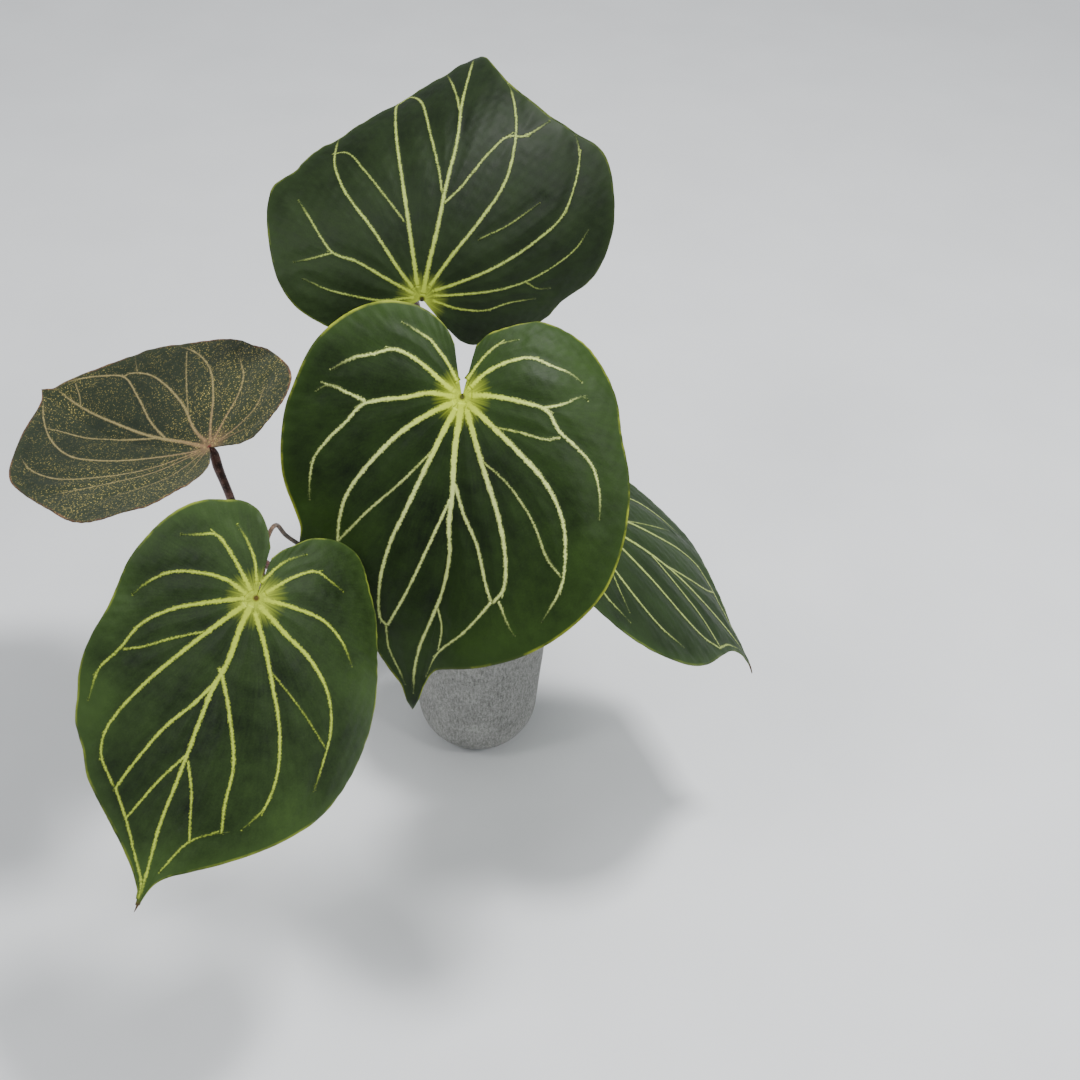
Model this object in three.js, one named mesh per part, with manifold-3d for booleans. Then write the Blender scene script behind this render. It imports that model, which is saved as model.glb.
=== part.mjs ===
// A potted anthurium with five heart shaped leaves in a light grey cement pot.
// Millimetres, +Z up, origin at the middle of the pot's base.
// +X is to the right and -Y to the front, the side the plant is looked at from.
import * as THREE from 'three';
import Module from 'manifold-3d';

const wasm = await Module();
wasm.setup();
const { Manifold, Mesh } = wasm;

// cement pot
const POT_HEIGHT = 145;
const POT_RIM_RADIUS = 47.5;
const POT_BASE_RADIUS = 39.4;
const POT_CORNER_WIDTH = 22;
const POT_CORNER_HEIGHT = 30;
const POT_FLOOR = 14;
const POT_MOUTH_RADIUS = 43.2;
const POT_FLOOR_RADIUS = 31.5;

// clear liner cup
const CUP_BOTTOM = 14.3;
const CUP_TOP = 145.6;
const CUP_BOTTOM_RADIUS = 30;
const CUP_TOP_RADIUS = 41.2;
const CUP_WALL = 0.8;
const CUP_BEAD = 1.1;
const CUP_DRAIN_RADIUS = 2.5;
const CUP_DRAINS = 6;

// moss filling
const MOSS_LEVEL = 133;
const MOSS_GAP = 0.35;

// crown, the short stem the stalks spring from
const CROWN_RADIUS = 10;
const CROWN_TOP = 150;
const CROWN_BOTTOM = 118;
const SOCKET_RING = 5.8;
const SOCKET_FLOOR = 142;
const FIT = 0.35;

// blades
const BLADE = 0.7;
const RINGS = [0.1, 0.26, 0.42, 0.58, 0.74, 0.88, 1];

const COLOURS = {
  cement: 0xc9c9c7,
  clear: 0xdfe6ea,
  moss: 0x9a8350,
  crown: 0x6d5a35,
  stalk: 0x4d3a2e,
  leaf: 0x2f4426,
  bronze: 0x4b4a36,
};

// Each leaf: seat is where the stalk meets the blade, facing the upper side's
// direction there, heading the way the midrib sets off. The bends are in
// radians a millimetre: along the midrib, in the lobes, at the drip tip past
// its start, and across the two halves. fold lifts both halves, twist turns
// them along the midrib and sway carries the midrib to one side.
// left and right give the margin from the tip on, as degrees from the midrib
// and distance from the seat.
const LEAVES = [
  {
    name: 'leaf_top',
    seat: [-42.4, 30, 330.4],
    facing: [0.174, -0.924, 0.342],
    heading: [0.148, 0.368, 0.918],
    bend: 0.0071, lobeBend: 0.0119, tipStart: 166, tipBend: 0.035,
    archLeft: 0.0027, archRight: 0.0048, fold: -0.0994, twist: -0.003, sway: 0.001,
    left: [[0, 188], [3, 173], [8, 163], [15, 155], [24, 144], [34, 135], [41, 132], [46, 127],
      [52, 120], [60, 119.5], [68, 111], [76, 102], [88, 91], [98, 84], [108, 75], [118, 62],
      [126, 52], [131, 40]],
    right: [[0, 188], [3, 170], [7, 153], [13, 141], [22, 134], [31, 135], [40, 141], [51, 135],
      [61, 127], [74, 112], [84, 92], [93, 85], [104, 72], [114, 59], [123, 53], [128, 47],
      [131, 38]],
    stalk: 2.4, angle: 75, colour: 'leaf',
    path: [[1, 12, 168], [-3, 24, 205], [-22, 45, 250], [-43, 58, 288], [-49, 56, 312]],
  },
  {
    name: 'leaf_front',
    seat: [-9.3, -90, 350.2],
    facing: [-0.129, -0.732, 0.669],
    heading: [0.013, -0.676, -0.737],
    bend: 0.0037, lobeBend: 0.0105, tipStart: 170, tipBend: 0.03,
    archLeft: 0.0103, archRight: 0.001, fold: 0.1976, twist: 0.003, sway: 0.0017,
    left: [[0, 187], [0.5, 174], [0.9, 164], [1.5, 157], [3.2, 151], [6, 148], [13, 145],
      [24, 142], [33, 139], [42, 134], [50, 124], [58, 113], [68, 101], [80, 89], [92, 84],
      [107, 80], [119, 76],
      [130, 69], [141, 61], [147, 52], [153, 44], [162, 36], [169, 28]],
    right: [[0, 187], [1.8, 179], [4, 169], [7, 162], [9.7, 156], [13, 149], [19, 144],
      [27, 138], [36, 129],
      [43, 121], [48, 111], [54, 107], [62, 104], [70, 100], [83, 93], [91, 88], [105, 81],
      [120, 72], [131, 65], [141, 58], [149, 52], [157, 44], [163, 36], [167, 28]],
    stalk: 2.4, angle: 291, colour: 'leaf',
    path: [[2.5, -9, 170], [1, -15, 215], [-1, -32, 275], [-4.5, -57, 318]],
  },
  {
    name: 'leaf_low',
    seat: [-105.6, -180, 281.7],
    facing: [0.117, -0.664, 0.738],
    heading: [-0.078, -0.747, -0.66],
    bend: 0.0012, lobeBend: 0.0064, tipStart: 150, tipBend: 0.004,
    archLeft: 0.0124, archRight: 0.0038, fold: -0.1, twist: 0.0018, sway: 0.0021,
    left: [[-2.2, 167], [-2.1, 162], [-1.9, 156], [-1.3, 151], [0.5, 146], [4, 142], [11, 137],
      [21, 132], [32, 127], [43, 118], [52, 109], [60, 100], [67, 93], [77, 84], [88, 77],
      [100, 72], [117, 69], [126, 66],
      [136, 58], [143, 50], [149, 43], [155, 34], [162, 28], [169, 22]],
    right: [[2.2, 167], [2.7, 162], [3.7, 157], [6.2, 150], [11, 141.5], [17, 134.5],
      [24, 129], [32, 124], [38, 118],
      [47, 114], [53, 108], [61, 101], [69, 91], [78, 80], [88, 74], [100, 70], [121, 65],
      [135, 62], [145, 59], [154, 55], [163, 52], [172, 46], [179, 37], [186, 27]],
    stalk: 1.3, angle: 219, colour: 'leaf',
    path: [[-7, -6, 165], [-25, -32, 203], [-60, -74, 235], [-90, -104, 249], [-102, -112, 264],
      [-106, -118, 277], [-107, -140, 285], [-105.6, -163, 281.5]],
  },
  {
    name: 'leaf_side',
    seat: [-159.3, -40, 264.7],
    facing: [-0.489, 0.075, 0.869],
    heading: [-0.796, 0.369, -0.48],
    bend: -0.002, lobeBend: -0.0034, tipStart: 170, tipBend: 0.01,
    archLeft: 0.0002, archRight: 0.002, fold: 0.2302, twist: 0.0002, sway: 0.003,
    left: [[0, 177], [2, 169], [6, 162], [13, 155], [21, 147], [28, 141], [33, 135], [38, 124],
      [45, 111], [54, 101], [64, 96], [72, 93], [81, 89], [88, 85], [96, 80], [106, 79],
      [113, 76], [119, 72], [125, 73], [130, 66], [134, 53], [136, 40]],
    right: [[0, 177], [2, 169], [5, 164], [10, 156], [16, 147], [22, 140], [29, 134], [36, 127],
      [43, 121], [51, 114], [60, 107], [70, 97], [79, 87], [88, 81], [100, 73], [114, 68],
      [128, 66], [141, 65], [150, 62], [160, 57], [170, 49], [180, 40], [190, 33]],
    stalk: 2.7, angle: 147, colour: 'bronze',
    path: [[-9, 3, 159.5], [-30, -6, 163], [-70, -24, 164], [-108, -42, 168], [-131, -52, 188],
      [-141, -54, 214], [-148, -50, 239], [-154, -45, 254]],
  },
  {
    name: 'leaf_right',
    seat: [55.7, -20, 221.9],
    facing: [0.474, 0.114, 0.873],
    heading: [0.878, -0.131, -0.46],
    bend: 0.0026, lobeBend: 0.005, tipStart: 140, tipBend: 0.015,
    archLeft: 0.0022, archRight: 0.0022, fold: 0, twist: 0, sway: 0,
    left: [[0, 168], [2, 147], [5, 138], [11, 132], [18, 126], [25, 122], [32, 121], [38, 120],
      [46, 111], [57, 98], [69, 88], [85, 80], [103, 77], [114, 75], [126, 70], [138, 61],
      [148, 49], [158, 38], [167, 27]],
    right: [[0, 168], [2, 149], [6, 138], [13, 131], [24, 126], [34, 120], [46, 109], [57, 98],
      [66, 89], [74, 82], [88, 79], [102, 78], [114, 76], [127, 69], [139, 60], [149, 48],
      [159, 36], [167, 26]],
    stalk: 2.2, angle: 3, colour: 'leaf',
    path: [[9, -1, 158], [20, -7, 180], [39, -17, 202]],
  },
];

const group = new THREE.Group();
group.name = 'potted_anthurium';

function addPart(name, geometry, colour, roughness) {
  const material = new THREE.MeshStandardMaterial({ color: COLOURS[colour], roughness });
  material.name = colour;
  const mesh = new THREE.Mesh(geometry, material);
  mesh.name = name;
  group.add(mesh);
}

// closed solids as manifolds and back, for holes and joined roots
function toManifold(geometry) {
  const keys = new Map();
  const points = [];
  const flat = geometry.index ? geometry.toNonIndexed() : geometry;
  const position = flat.getAttribute('position');
  const corners = [];
  for (let i = 0; i < position.count; i += 1) {
    const p = [position.getX(i), position.getY(i), position.getZ(i)];
    const key = p.map((c) => Math.round(c * 1000)).join(',');
    if (!keys.has(key)) {
      keys.set(key, points.length / 3);
      points.push(...p);
    }
    corners.push(keys.get(key));
  }
  const triangles = [];
  for (let i = 0; i < corners.length; i += 3) {
    const [a, b, c] = [corners[i], corners[i + 1], corners[i + 2]];
    if (a !== b && b !== c && c !== a) triangles.push(a, b, c);
  }
  const mesh = new Mesh({
    numProp: 3,
    vertProperties: new Float32Array(points),
    triVerts: new Uint32Array(triangles),
  });
  return new Manifold(mesh);
}

function toGeometry(manifold) {
  const mesh = manifold.getMesh();
  const geometry = new THREE.BufferGeometry();
  const position = new THREE.BufferAttribute(new Float32Array(mesh.vertProperties), 3);
  geometry.setAttribute('position', position);
  geometry.setIndex(new THREE.BufferAttribute(new Uint32Array(mesh.triVerts), 1));
  geometry.computeVertexNormals();
  return geometry;
}

function turned(profile, segments) {
  const geometry = new THREE.LatheGeometry(profile.map(([r, z]) => new THREE.Vector2(r, z)), segments);
  geometry.rotateX(Math.PI / 2);
  return geometry;
}

function rod(points, radius, segments, steps) {
  const path = new THREE.CatmullRomCurve3(points.map((p) => new THREE.Vector3(...p)));
  const shape = new THREE.Shape();
  shape.absarc(0, 0, radius, 0, 2 * Math.PI, false);
  return new THREE.ExtrudeGeometry(shape, {
    steps, curveSegments: segments, bevelEnabled: false, extrudePath: path,
  });
}

// outer pot: a turned cement body with a wide rounded foot
const wallRadius = (z) => POT_BASE_RADIUS + ((POT_RIM_RADIUS - POT_BASE_RADIUS) * z) / POT_HEIGHT;
const footRadius = wallRadius(POT_CORNER_HEIGHT) - POT_CORNER_WIDTH;
const potProfile = [[0, 0], [footRadius, 0]];
for (let i = 1; i <= 7; i += 1) {
  const a = (i * Math.PI) / 14;
  potProfile.push([
    footRadius + POT_CORNER_WIDTH * Math.sin(a),
    POT_CORNER_HEIGHT * (1 - Math.cos(a)),
  ]);
}
potProfile.push([wallRadius(POT_HEIGHT - 1.5), POT_HEIGHT - 1.5]);
potProfile.push([POT_RIM_RADIUS - 1.2, POT_HEIGHT]);
potProfile.push([POT_MOUTH_RADIUS + 0.8, POT_HEIGHT]);
potProfile.push([POT_MOUTH_RADIUS, POT_HEIGHT - 1]);
potProfile.push([POT_FLOOR_RADIUS + 2.4, 26]);
potProfile.push([POT_FLOOR_RADIUS, POT_FLOOR + 3]);
potProfile.push([POT_FLOOR_RADIUS - 1, POT_FLOOR]);
potProfile.push([0, POT_FLOOR]);
addPart('outer_pot', turned(potProfile, 48), 'cement', 0.85);

// liner: a thin clear cup with a rolled rim and drain holes
const cupRadius = (z) => CUP_BOTTOM_RADIUS
  + ((CUP_TOP_RADIUS - CUP_BOTTOM_RADIUS) * (z - CUP_BOTTOM)) / (CUP_TOP - CUP_BOTTOM);
const cupFloor = CUP_BOTTOM + CUP_WALL;
const cupProfile = [
  [0, CUP_BOTTOM],
  [CUP_BOTTOM_RADIUS - 2, CUP_BOTTOM],
  [cupRadius(CUP_BOTTOM + 2.5), CUP_BOTTOM + 2.5],
  [CUP_TOP_RADIUS, CUP_TOP],
  [CUP_TOP_RADIUS + CUP_BEAD, CUP_TOP + 0.2],
  [CUP_TOP_RADIUS + CUP_BEAD, CUP_TOP + CUP_BEAD],
  [CUP_TOP_RADIUS + 0.2, CUP_TOP + 2 * CUP_BEAD],
  [CUP_TOP_RADIUS - CUP_WALL, CUP_TOP + CUP_BEAD],
  [cupRadius(CUP_BOTTOM + 3) - CUP_WALL, CUP_BOTTOM + 3],
  [CUP_BOTTOM_RADIUS - 2.4, cupFloor],
  [0, cupFloor],
];
let cup = toManifold(turned(cupProfile, 40));
for (let i = 0; i < CUP_DRAINS; i += 1) {
  const a = (i * 2 * Math.PI) / CUP_DRAINS;
  const drain = Manifold.cylinder(4, CUP_DRAIN_RADIUS, CUP_DRAIN_RADIUS, 10, true)
    .translate([18 * Math.cos(a), 18 * Math.sin(a), CUP_BOTTOM]);
  cup = cup.subtract(drain);
}
addPart('liner_cup', toGeometry(cup), 'clear', 0.15);

// crown with its roots, and the same form grown by the fit for its hole
const ROOTS = [
  [[4, 3, 124], [13, 9, 112], [20, 12, 92], [22, 10, 66], [17, 5, 44]],
  [[-4, 3, 124], [-14, 8, 114], [-22, 13, 98], [-25, 12, 74]],
  [[-2, -5, 124], [-7, -16, 110], [-10, -23, 88], [-8, -25, 60], [-3, -20, 36]],
  [[5, -3, 124], [16, -10, 116], [25, -14, 100], [27, -14, 84]],
];
function crownForm(grow) {
  const profile = [
    [0, CROWN_BOTTOM - grow],
    [6 + grow, CROWN_BOTTOM - grow],
    [9 + grow, CROWN_BOTTOM + 6],
    [CROWN_RADIUS + grow, CROWN_BOTTOM + 16],
    [CROWN_RADIUS + grow, CROWN_TOP - 2.5],
    [CROWN_RADIUS - 2.2 + grow, CROWN_TOP + grow],
    [0, CROWN_TOP + grow],
  ];
  let form = toManifold(turned(profile, 28));
  ROOTS.forEach((points, i) => {
    const thickness = [2, 1.7, 1.9, 1.6][i] + grow;
    const end = new THREE.Vector3(...points[points.length - 1]);
    const before = new THREE.Vector3(...points[points.length - 2]);
    const last = end.clone().add(end.clone().sub(before).setLength(grow + 0.001));
    const route = [...points.slice(0, -1), last.toArray()];
    form = form.add(toManifold(rod(route, thickness, 4, 10)));
  });
  return form;
}
let crown = crownForm(0);
const socketAt = (leaf) => {
  const a = (leaf.angle * Math.PI) / 180;
  return [SOCKET_RING * Math.cos(a), SOCKET_RING * Math.sin(a)];
};
LEAVES.forEach((leaf) => {
  const [x, y] = socketAt(leaf);
  const radius = leaf.stalk + FIT;
  const socket = Manifold.cylinder(20, radius, radius, 16).translate([x, y, SOCKET_FLOOR]);
  crown = crown.subtract(socket);
});

// moss: a loose lumpy fill, heaped a little around the crown
const mossHeight = (x, y) => {
  const r = Math.hypot(x, y);
  const heap = 4.5 * Math.exp(-((r / 20) ** 2));
  const lumps = 1.3 * Math.sin(0.31 * x + 0.8) * Math.cos(0.27 * y - 0.4)
    + 0.9 * Math.sin(0.55 * y + 0.2 * x) + 0.6 * Math.cos(0.62 * x - 0.35 * y);
  return MOSS_LEVEL + heap + lumps;
};
function mossForm() {
  const around = 36;
  const points = [[0, 0, mossHeight(0, 0)]];
  const topEdge = cupRadius(MOSS_LEVEL) - CUP_WALL - MOSS_GAP - 0.2;
  const rings = [0.28, 0.46, 0.64, 0.82, 1];
  const low = cupFloor + MOSS_GAP;
  const sides = [[low + 4, 0], [low, -3]];
  rings.forEach((f) => {
    for (let i = 0; i < around; i += 1) {
      const a = (i * 2 * Math.PI) / around;
      const [x, y] = [f * topEdge * Math.cos(a), f * topEdge * Math.sin(a)];
      points.push([x, y, mossHeight(x, y)]);
    }
  });
  sides.forEach(([z, inset]) => {
    for (let i = 0; i < around; i += 1) {
      const a = (i * 2 * Math.PI) / around;
      const r = cupRadius(z) - CUP_WALL - MOSS_GAP - 0.5 + inset;
      points.push([r * Math.cos(a), r * Math.sin(a), z]);
    }
  });
  points.push([0, 0, low]);
  const index = [];
  const rows = rings.length + sides.length;
  for (let i = 0; i < around; i += 1) {
    const j = (i + 1) % around;
    index.push(0, 1 + i, 1 + j);
    for (let k = 0; k < rows - 1; k += 1) {
      const [a, b] = [1 + k * around, 1 + (k + 1) * around];
      index.push(a + i, b + i, b + j, a + i, b + j, a + j);
    }
    const bottom = 1 + (rows - 1) * around;
    index.push(bottom + i, points.length - 1, bottom + j);
  }
  const geometry = new THREE.BufferGeometry();
  geometry.setAttribute('position', new THREE.Float32BufferAttribute(points.flat(), 3));
  geometry.setIndex(index);
  return toManifold(geometry);
}
const moss = mossForm().subtract(crownForm(FIT));
addPart('moss', toGeometry(moss), 'moss', 0.95);
addPart('crown', toGeometry(crown), 'crown', 0.7);

// leaf surface: from the flat pattern (across, along) to its place in space
function sweep(length, bend) {
  const k = Math.abs(bend) < 1e-7 ? 1e-7 : bend;
  return [Math.sin(k * length) / k, (1 - Math.cos(k * length)) / k];
}
function surface(leaf) {
  const facing = new THREE.Vector3(...leaf.facing).normalize();
  const heading = new THREE.Vector3(...leaf.heading);
  heading.addScaledVector(facing, -heading.dot(facing)).normalize();
  const across = heading.clone().cross(facing);
  return (u, v) => {
    const before = Math.min(v, 0);
    const middle = Math.min(Math.max(v, 0), leaf.tipStart);
    const after = Math.max(v - leaf.tipStart, 0);
    const [y0, z0] = sweep(before, leaf.lobeBend);
    const [y1, z1] = sweep(middle, leaf.bend);
    const [y2, z2] = sweep(after, leaf.tipBend);
    const turn = leaf.bend * middle;
    const along = y0 + y1 + Math.cos(turn) * y2 - Math.sin(turn) * z2;
    const down = z0 + z1 + Math.sin(turn) * y2 + Math.cos(turn) * z2;
    const slope = leaf.lobeBend * before + turn + leaf.tipBend * after;
    const up = facing.clone().multiplyScalar(Math.cos(slope)).addScaledVector(heading, Math.sin(slope));
    const side = u < 0 ? -1 : 1;
    const width = Math.abs(u);
    const arch = u < 0 ? leaf.archLeft : leaf.archRight;
    const lift = leaf.fold - side * leaf.twist * v;
    const reach = (Math.sin(lift) - Math.sin(lift - arch * width)) / arch;
    const rise = (Math.cos(lift - arch * width) - Math.cos(lift)) / arch;
    return new THREE.Vector3(...leaf.seat)
      .addScaledVector(heading, along)
      .addScaledVector(facing, -down)
      .addScaledVector(across, (leaf.sway * Math.max(v, 0) ** 2) / 2 + side * reach)
      .addScaledVector(up, rise);
  };
}

function blade(leaf) {
  const place = surface(leaf);
  const margin = [];
  [...leaf.left].reverse().forEach(([a, r]) => margin.push([-a, r]));
  leaf.right.slice(1).forEach(([a, r]) => margin.push([a, r]));
  const rays = margin.length;
  const rings = RINGS.length;
  const flat = [[0, 0]];
  margin.forEach(([degrees, r]) => {
    const a = (degrees * Math.PI) / 180;
    RINGS.forEach((f) => flat.push([f * r * Math.sin(a), f * r * Math.cos(a)]));
  });
  const top = [];
  const under = [];
  const step = 0.05;
  flat.forEach(([u, v]) => {
    const along = place(u, v + step).sub(place(u, v - step));
    const over = u < 0 ? place(u, v).sub(place(u - step, v)) : place(u + step, v).sub(place(u, v));
    const normal = over.cross(along).normalize();
    const point = place(u, v);
    top.push(point);
    under.push(point.clone().addScaledVector(normal, -BLADE));
  });
  const at = (ray, ring) => (ring < 0 ? 0 : 1 + ray * rings + ring);
  const faces = [];
  for (let i = 0; i < rays - 1; i += 1) {
    faces.push([0, at(i + 1, 0), at(i, 0)]);
    for (let k = 0; k < rings - 1; k += 1) {
      faces.push([at(i, k), at(i + 1, k), at(i + 1, k + 1)]);
      faces.push([at(i, k), at(i + 1, k + 1), at(i, k + 1)]);
    }
  }
  const loop = [0];
  for (let k = 0; k < rings; k += 1) loop.push(at(0, k));
  for (let i = 1; i < rays; i += 1) loop.push(at(i, rings - 1));
  for (let k = rings - 2; k >= 0; k -= 1) loop.push(at(rays - 1, k));
  const n = flat.length;
  const index = [];
  faces.forEach(([a, b, c]) => {
    index.push(a, b, c);
    index.push(n + a, n + c, n + b);
  });
  loop.forEach((a, i) => {
    const b = loop[(i + 1) % loop.length];
    index.push(a, b, n + b, a, n + b, n + a);
  });
  const geometry = new THREE.BufferGeometry();
  const points = [...top, ...under].flatMap((p) => p.toArray());
  geometry.setAttribute('position', new THREE.Float32BufferAttribute(points, 3));
  geometry.setIndex(index);
  geometry.computeVertexNormals();
  return geometry;
}

LEAVES.forEach((leaf) => {
  const [x, y] = socketAt(leaf);
  const facing = new THREE.Vector3(...leaf.facing).normalize();
  const end = new THREE.Vector3(...leaf.seat).addScaledVector(facing, -BLADE - FIT);
  const near = end.clone().addScaledVector(facing, -4);
  const foot = [[x, y, SOCKET_FLOOR + FIT], [x, y, CROWN_TOP + 3]];
  const route = [...foot, ...leaf.path, near.toArray(), end.toArray()];
  addPart(leaf.name.replace('leaf', 'stalk'), rod(route, leaf.stalk, 5, 22), 'stalk', 0.6);
  addPart(leaf.name, blade(leaf), leaf.colour, 0.55);
});

export default group;
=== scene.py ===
import math
import random

import bpy
import numpy as np
from mathutils import Matrix, Vector


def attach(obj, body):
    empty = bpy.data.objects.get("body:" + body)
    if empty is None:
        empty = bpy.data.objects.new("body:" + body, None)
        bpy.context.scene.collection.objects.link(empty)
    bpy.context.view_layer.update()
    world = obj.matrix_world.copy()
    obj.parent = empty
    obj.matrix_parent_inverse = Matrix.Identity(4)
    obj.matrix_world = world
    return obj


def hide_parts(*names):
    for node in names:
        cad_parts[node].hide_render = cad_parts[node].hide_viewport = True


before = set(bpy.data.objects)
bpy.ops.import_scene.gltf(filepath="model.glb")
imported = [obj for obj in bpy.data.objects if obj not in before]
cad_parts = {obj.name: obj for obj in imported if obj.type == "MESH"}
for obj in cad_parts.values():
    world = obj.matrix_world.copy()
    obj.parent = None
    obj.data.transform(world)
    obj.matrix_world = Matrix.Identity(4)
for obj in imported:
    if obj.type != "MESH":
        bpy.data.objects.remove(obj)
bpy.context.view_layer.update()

# The viewpoint: a portrait lens above and in front of the plant, 0.85 metres over
# the floor, looking 41.5 degrees down with a slight roll.
pitch, roll = math.radians(41.531), math.radians(3.888)
ahead = Vector((0, math.cos(pitch), -math.sin(pitch)))
level = Vector((1, 0, 0))
over = Vector((0, math.sin(pitch), math.cos(pitch)))
right = math.cos(roll) * level + math.sin(roll) * over
top = -math.sin(roll) * level + math.cos(roll) * over
camera_data = bpy.data.cameras.new("camera")
camera_data.sensor_width = 36
camera_data.lens = 52.85
camera_data.clip_start = 0.02
camera = bpy.data.objects.new("camera", camera_data)
camera.matrix_world = Matrix((
    (right.x, top.x, -ahead.x, 0.0363),
    (right.y, top.y, -ahead.y, -0.7572),
    (right.z, top.z, -ahead.z, 0.8453),
    (0, 0, 0, 1),
))
bpy.context.scene.collection.objects.link(camera)
bpy.context.scene.camera = camera


# Floor: one wide sheet of matt pale grey paper that the pot stands on.
# Its edge lies outside the camera's view, so the ground runs softly out of it.
def colour(hexed):
    """sRGB hex to linear red, green, blue and alpha"""
    parts = [int(hexed[i:i + 2], 16) / 255 for i in (1, 3, 5)]
    line = [c / 12.92 if c <= 0.04045 else ((c + 0.055) / 1.055) ** 2.4 for c in parts]
    return (*line, 1)


def finish_named(name):
    """an empty material with its node tree"""
    material = bpy.data.materials.new(name)
    material.use_nodes = True
    material.node_tree.nodes.clear()
    return material, material.node_tree


def put(tree, kind, sockets=None, **settings):
    """adds one shader node. A socket given a node takes its first output, a socket
    given an output takes that, and any other value or hex colour is set on it."""
    node = tree.nodes.new("ShaderNode" + kind)
    for key, value in settings.items():
        setattr(node, key, value)
    for key, value in (sockets or {}).items():
        if isinstance(value, bpy.types.Node):
            value = value.outputs[0]
        if isinstance(value, bpy.types.NodeSocket):
            tree.links.new(value, node.inputs[key])
        else:
            node.inputs[key].default_value = colour(value) if isinstance(value, str) else value
    return node


def ramp(tree, factor, *stops):
    """a colour ramp with its stops as places and hex colours"""
    node = put(tree, "ValToRGB", {"Fac": factor})
    while len(node.color_ramp.elements) < len(stops):
        node.color_ramp.elements.new(0.5)
    for element, (place, hexed) in zip(node.color_ramp.elements, stops):
        element.position = place
        element.color = colour(hexed)
    return node


def noise(tree, vector, scale, detail, roughness=0.5):
    """soft cloudy noise over a place"""
    return put(tree, "TexNoise", {"Vector": vector, "Scale": scale, "Detail": detail,
                                  "Roughness": roughness})


def blend(tree, factor, first, second, kind="MIX"):
    """the colour that lies between two colours, or that they make together"""
    node = put(tree, "Mix", {0: factor, 6: first, 7: second}, data_type="RGBA", blend_type=kind)
    return node.outputs[2]


def sums(tree, operation, *values):
    """one step of arithmetic on values and nodes"""
    return put(tree, "Math", dict(enumerate(values)), operation=operation)


def ranged(tree, value, low, high, to_low=0.0, to_high=1.0, kind="LINEAR"):
    """a value carried from one range to another and held at its ends"""
    return put(tree, "MapRange", {"Value": value, "From Min": low, "From Max": high,
                                  "To Min": to_low, "To Max": to_high}, interpolation_type=kind)


def bump(tree, height, strength, distance):
    """fine relief: its strength, and its depth in metres"""
    return put(tree, "Bump", {"Height": height, "Strength": strength, "Distance": distance})


def finished(tree, base, roughness, specular, **more):
    """the surface at the end of a finish"""
    sockets = {"Base Color": base, "Roughness": roughness, "Specular IOR Level": specular}
    for key, value in more.items():
        sockets[key.replace("_", " ")] = value
    put(tree, "OutputMaterial", {"Surface": put(tree, "BsdfPrincipled", sockets)})


def grained(name, stretch, scale, detail, fine, dull, gloss, relief, stops):
    """a plain finish: one stretched noise that gives both its colour and its relief"""
    material, tree = finish_named(name)
    place = put(tree, "TexCoord").outputs["Object"]
    grain = noise(tree, put(tree, "Mapping", {"Scale": stretch, "Vector": place}), scale, detail, fine)
    finished(tree, ramp(tree, grain, *stops), dull, gloss, Normal=bump(tree, grain, *relief))
    return material


bpy.ops.object.select_all(action="DESELECT")
bpy.ops.mesh.primitive_plane_add(size=8, location=(0, 0, -0.0002))
floor = bpy.context.object
floor.name = "floor"
paper, tree = finish_named("matt_paper")
place = put(tree, "TexCoord").outputs["Object"]
fibre = noise(tree, place, 9.0, 3.0)
finished(tree, ramp(tree, fibre, (0.3, "#e0e2e4"), (0.7, "#e5e7e9")), 0.8, 0.2)
floor.data.materials.append(paper)

# Studio light: a softbox overhead and a little behind, so that the shadows fall
# to the front, a weaker one at each side in front, and a pale room around them.
for name, place, size, power in (
    ("softbox_over", (0.42, 0.22, 1.85), 0.3, 31),
    ("softbox_left", (-0.95, -0.75, 1.5), 0.6, 12),
    ("softbox_right", (1.05, -0.5, 1.4), 0.6, 14),
):
    lamp_data = bpy.data.lights.new(name, "AREA")
    lamp_data.shape = "SQUARE"
    lamp_data.size = size
    lamp_data.energy = power
    lamp = bpy.data.objects.new(name, lamp_data)
    lamp.location = place
    aim = Vector((-0.03, -0.03, 0.2)) - Vector(place)
    lamp.rotation_euler = aim.to_track_quat("-Z", "Y").to_euler()
    bpy.context.scene.collection.objects.link(lamp)
room = bpy.data.worlds.new("room")
room.use_nodes = True
room.node_tree.nodes["Background"].inputs["Color"].default_value = colour("#eef1f4")
room.node_tree.nodes["Background"].inputs["Strength"].default_value = 0.55
bpy.context.scene.world = room


# Outer pot: a cast cement cover pot, turned smooth inside, its outside left
# with the fine pits and upright drag marks of the mould it was pulled from.
def turned(name, profile, sides):
    """a disc drawn up ring by ring along the profile, closed at both ends"""
    bpy.ops.object.select_all(action="DESELECT")
    r, z = profile[0]
    bpy.ops.mesh.primitive_circle_add(vertices=sides, radius=r, fill_type="NGON",
                                      location=(0, 0, z))
    piece = bpy.context.object
    piece.name = name
    bpy.ops.object.transform_apply(location=True, rotation=False, scale=False)
    bpy.ops.object.mode_set(mode="EDIT")
    bpy.ops.mesh.select_all(action="SELECT")
    for (r, z), (r1, z1) in zip(profile, profile[1:]):
        bpy.ops.mesh.extrude_region_move(TRANSFORM_OT_translate={"value": (0, 0, z1 - z)})
        bpy.ops.transform.resize(value=(r1 / r, r1 / r, 1), center_override=(0, 0, z1))
    bpy.ops.mesh.select_all(action="SELECT")
    bpy.ops.mesh.normals_make_consistent(inside=False)
    bpy.ops.object.mode_set(mode="OBJECT")
    bpy.ops.object.shade_smooth_by_angle(angle=math.radians(40))
    return piece


def between(a, b, count):
    """evenly spaced points after a, up to and with b"""
    return [(a[0] + (b[0] - a[0]) * i / count, a[1] + (b[1] - a[1]) * i / count)
            for i in range(1, count + 1)]


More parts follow.
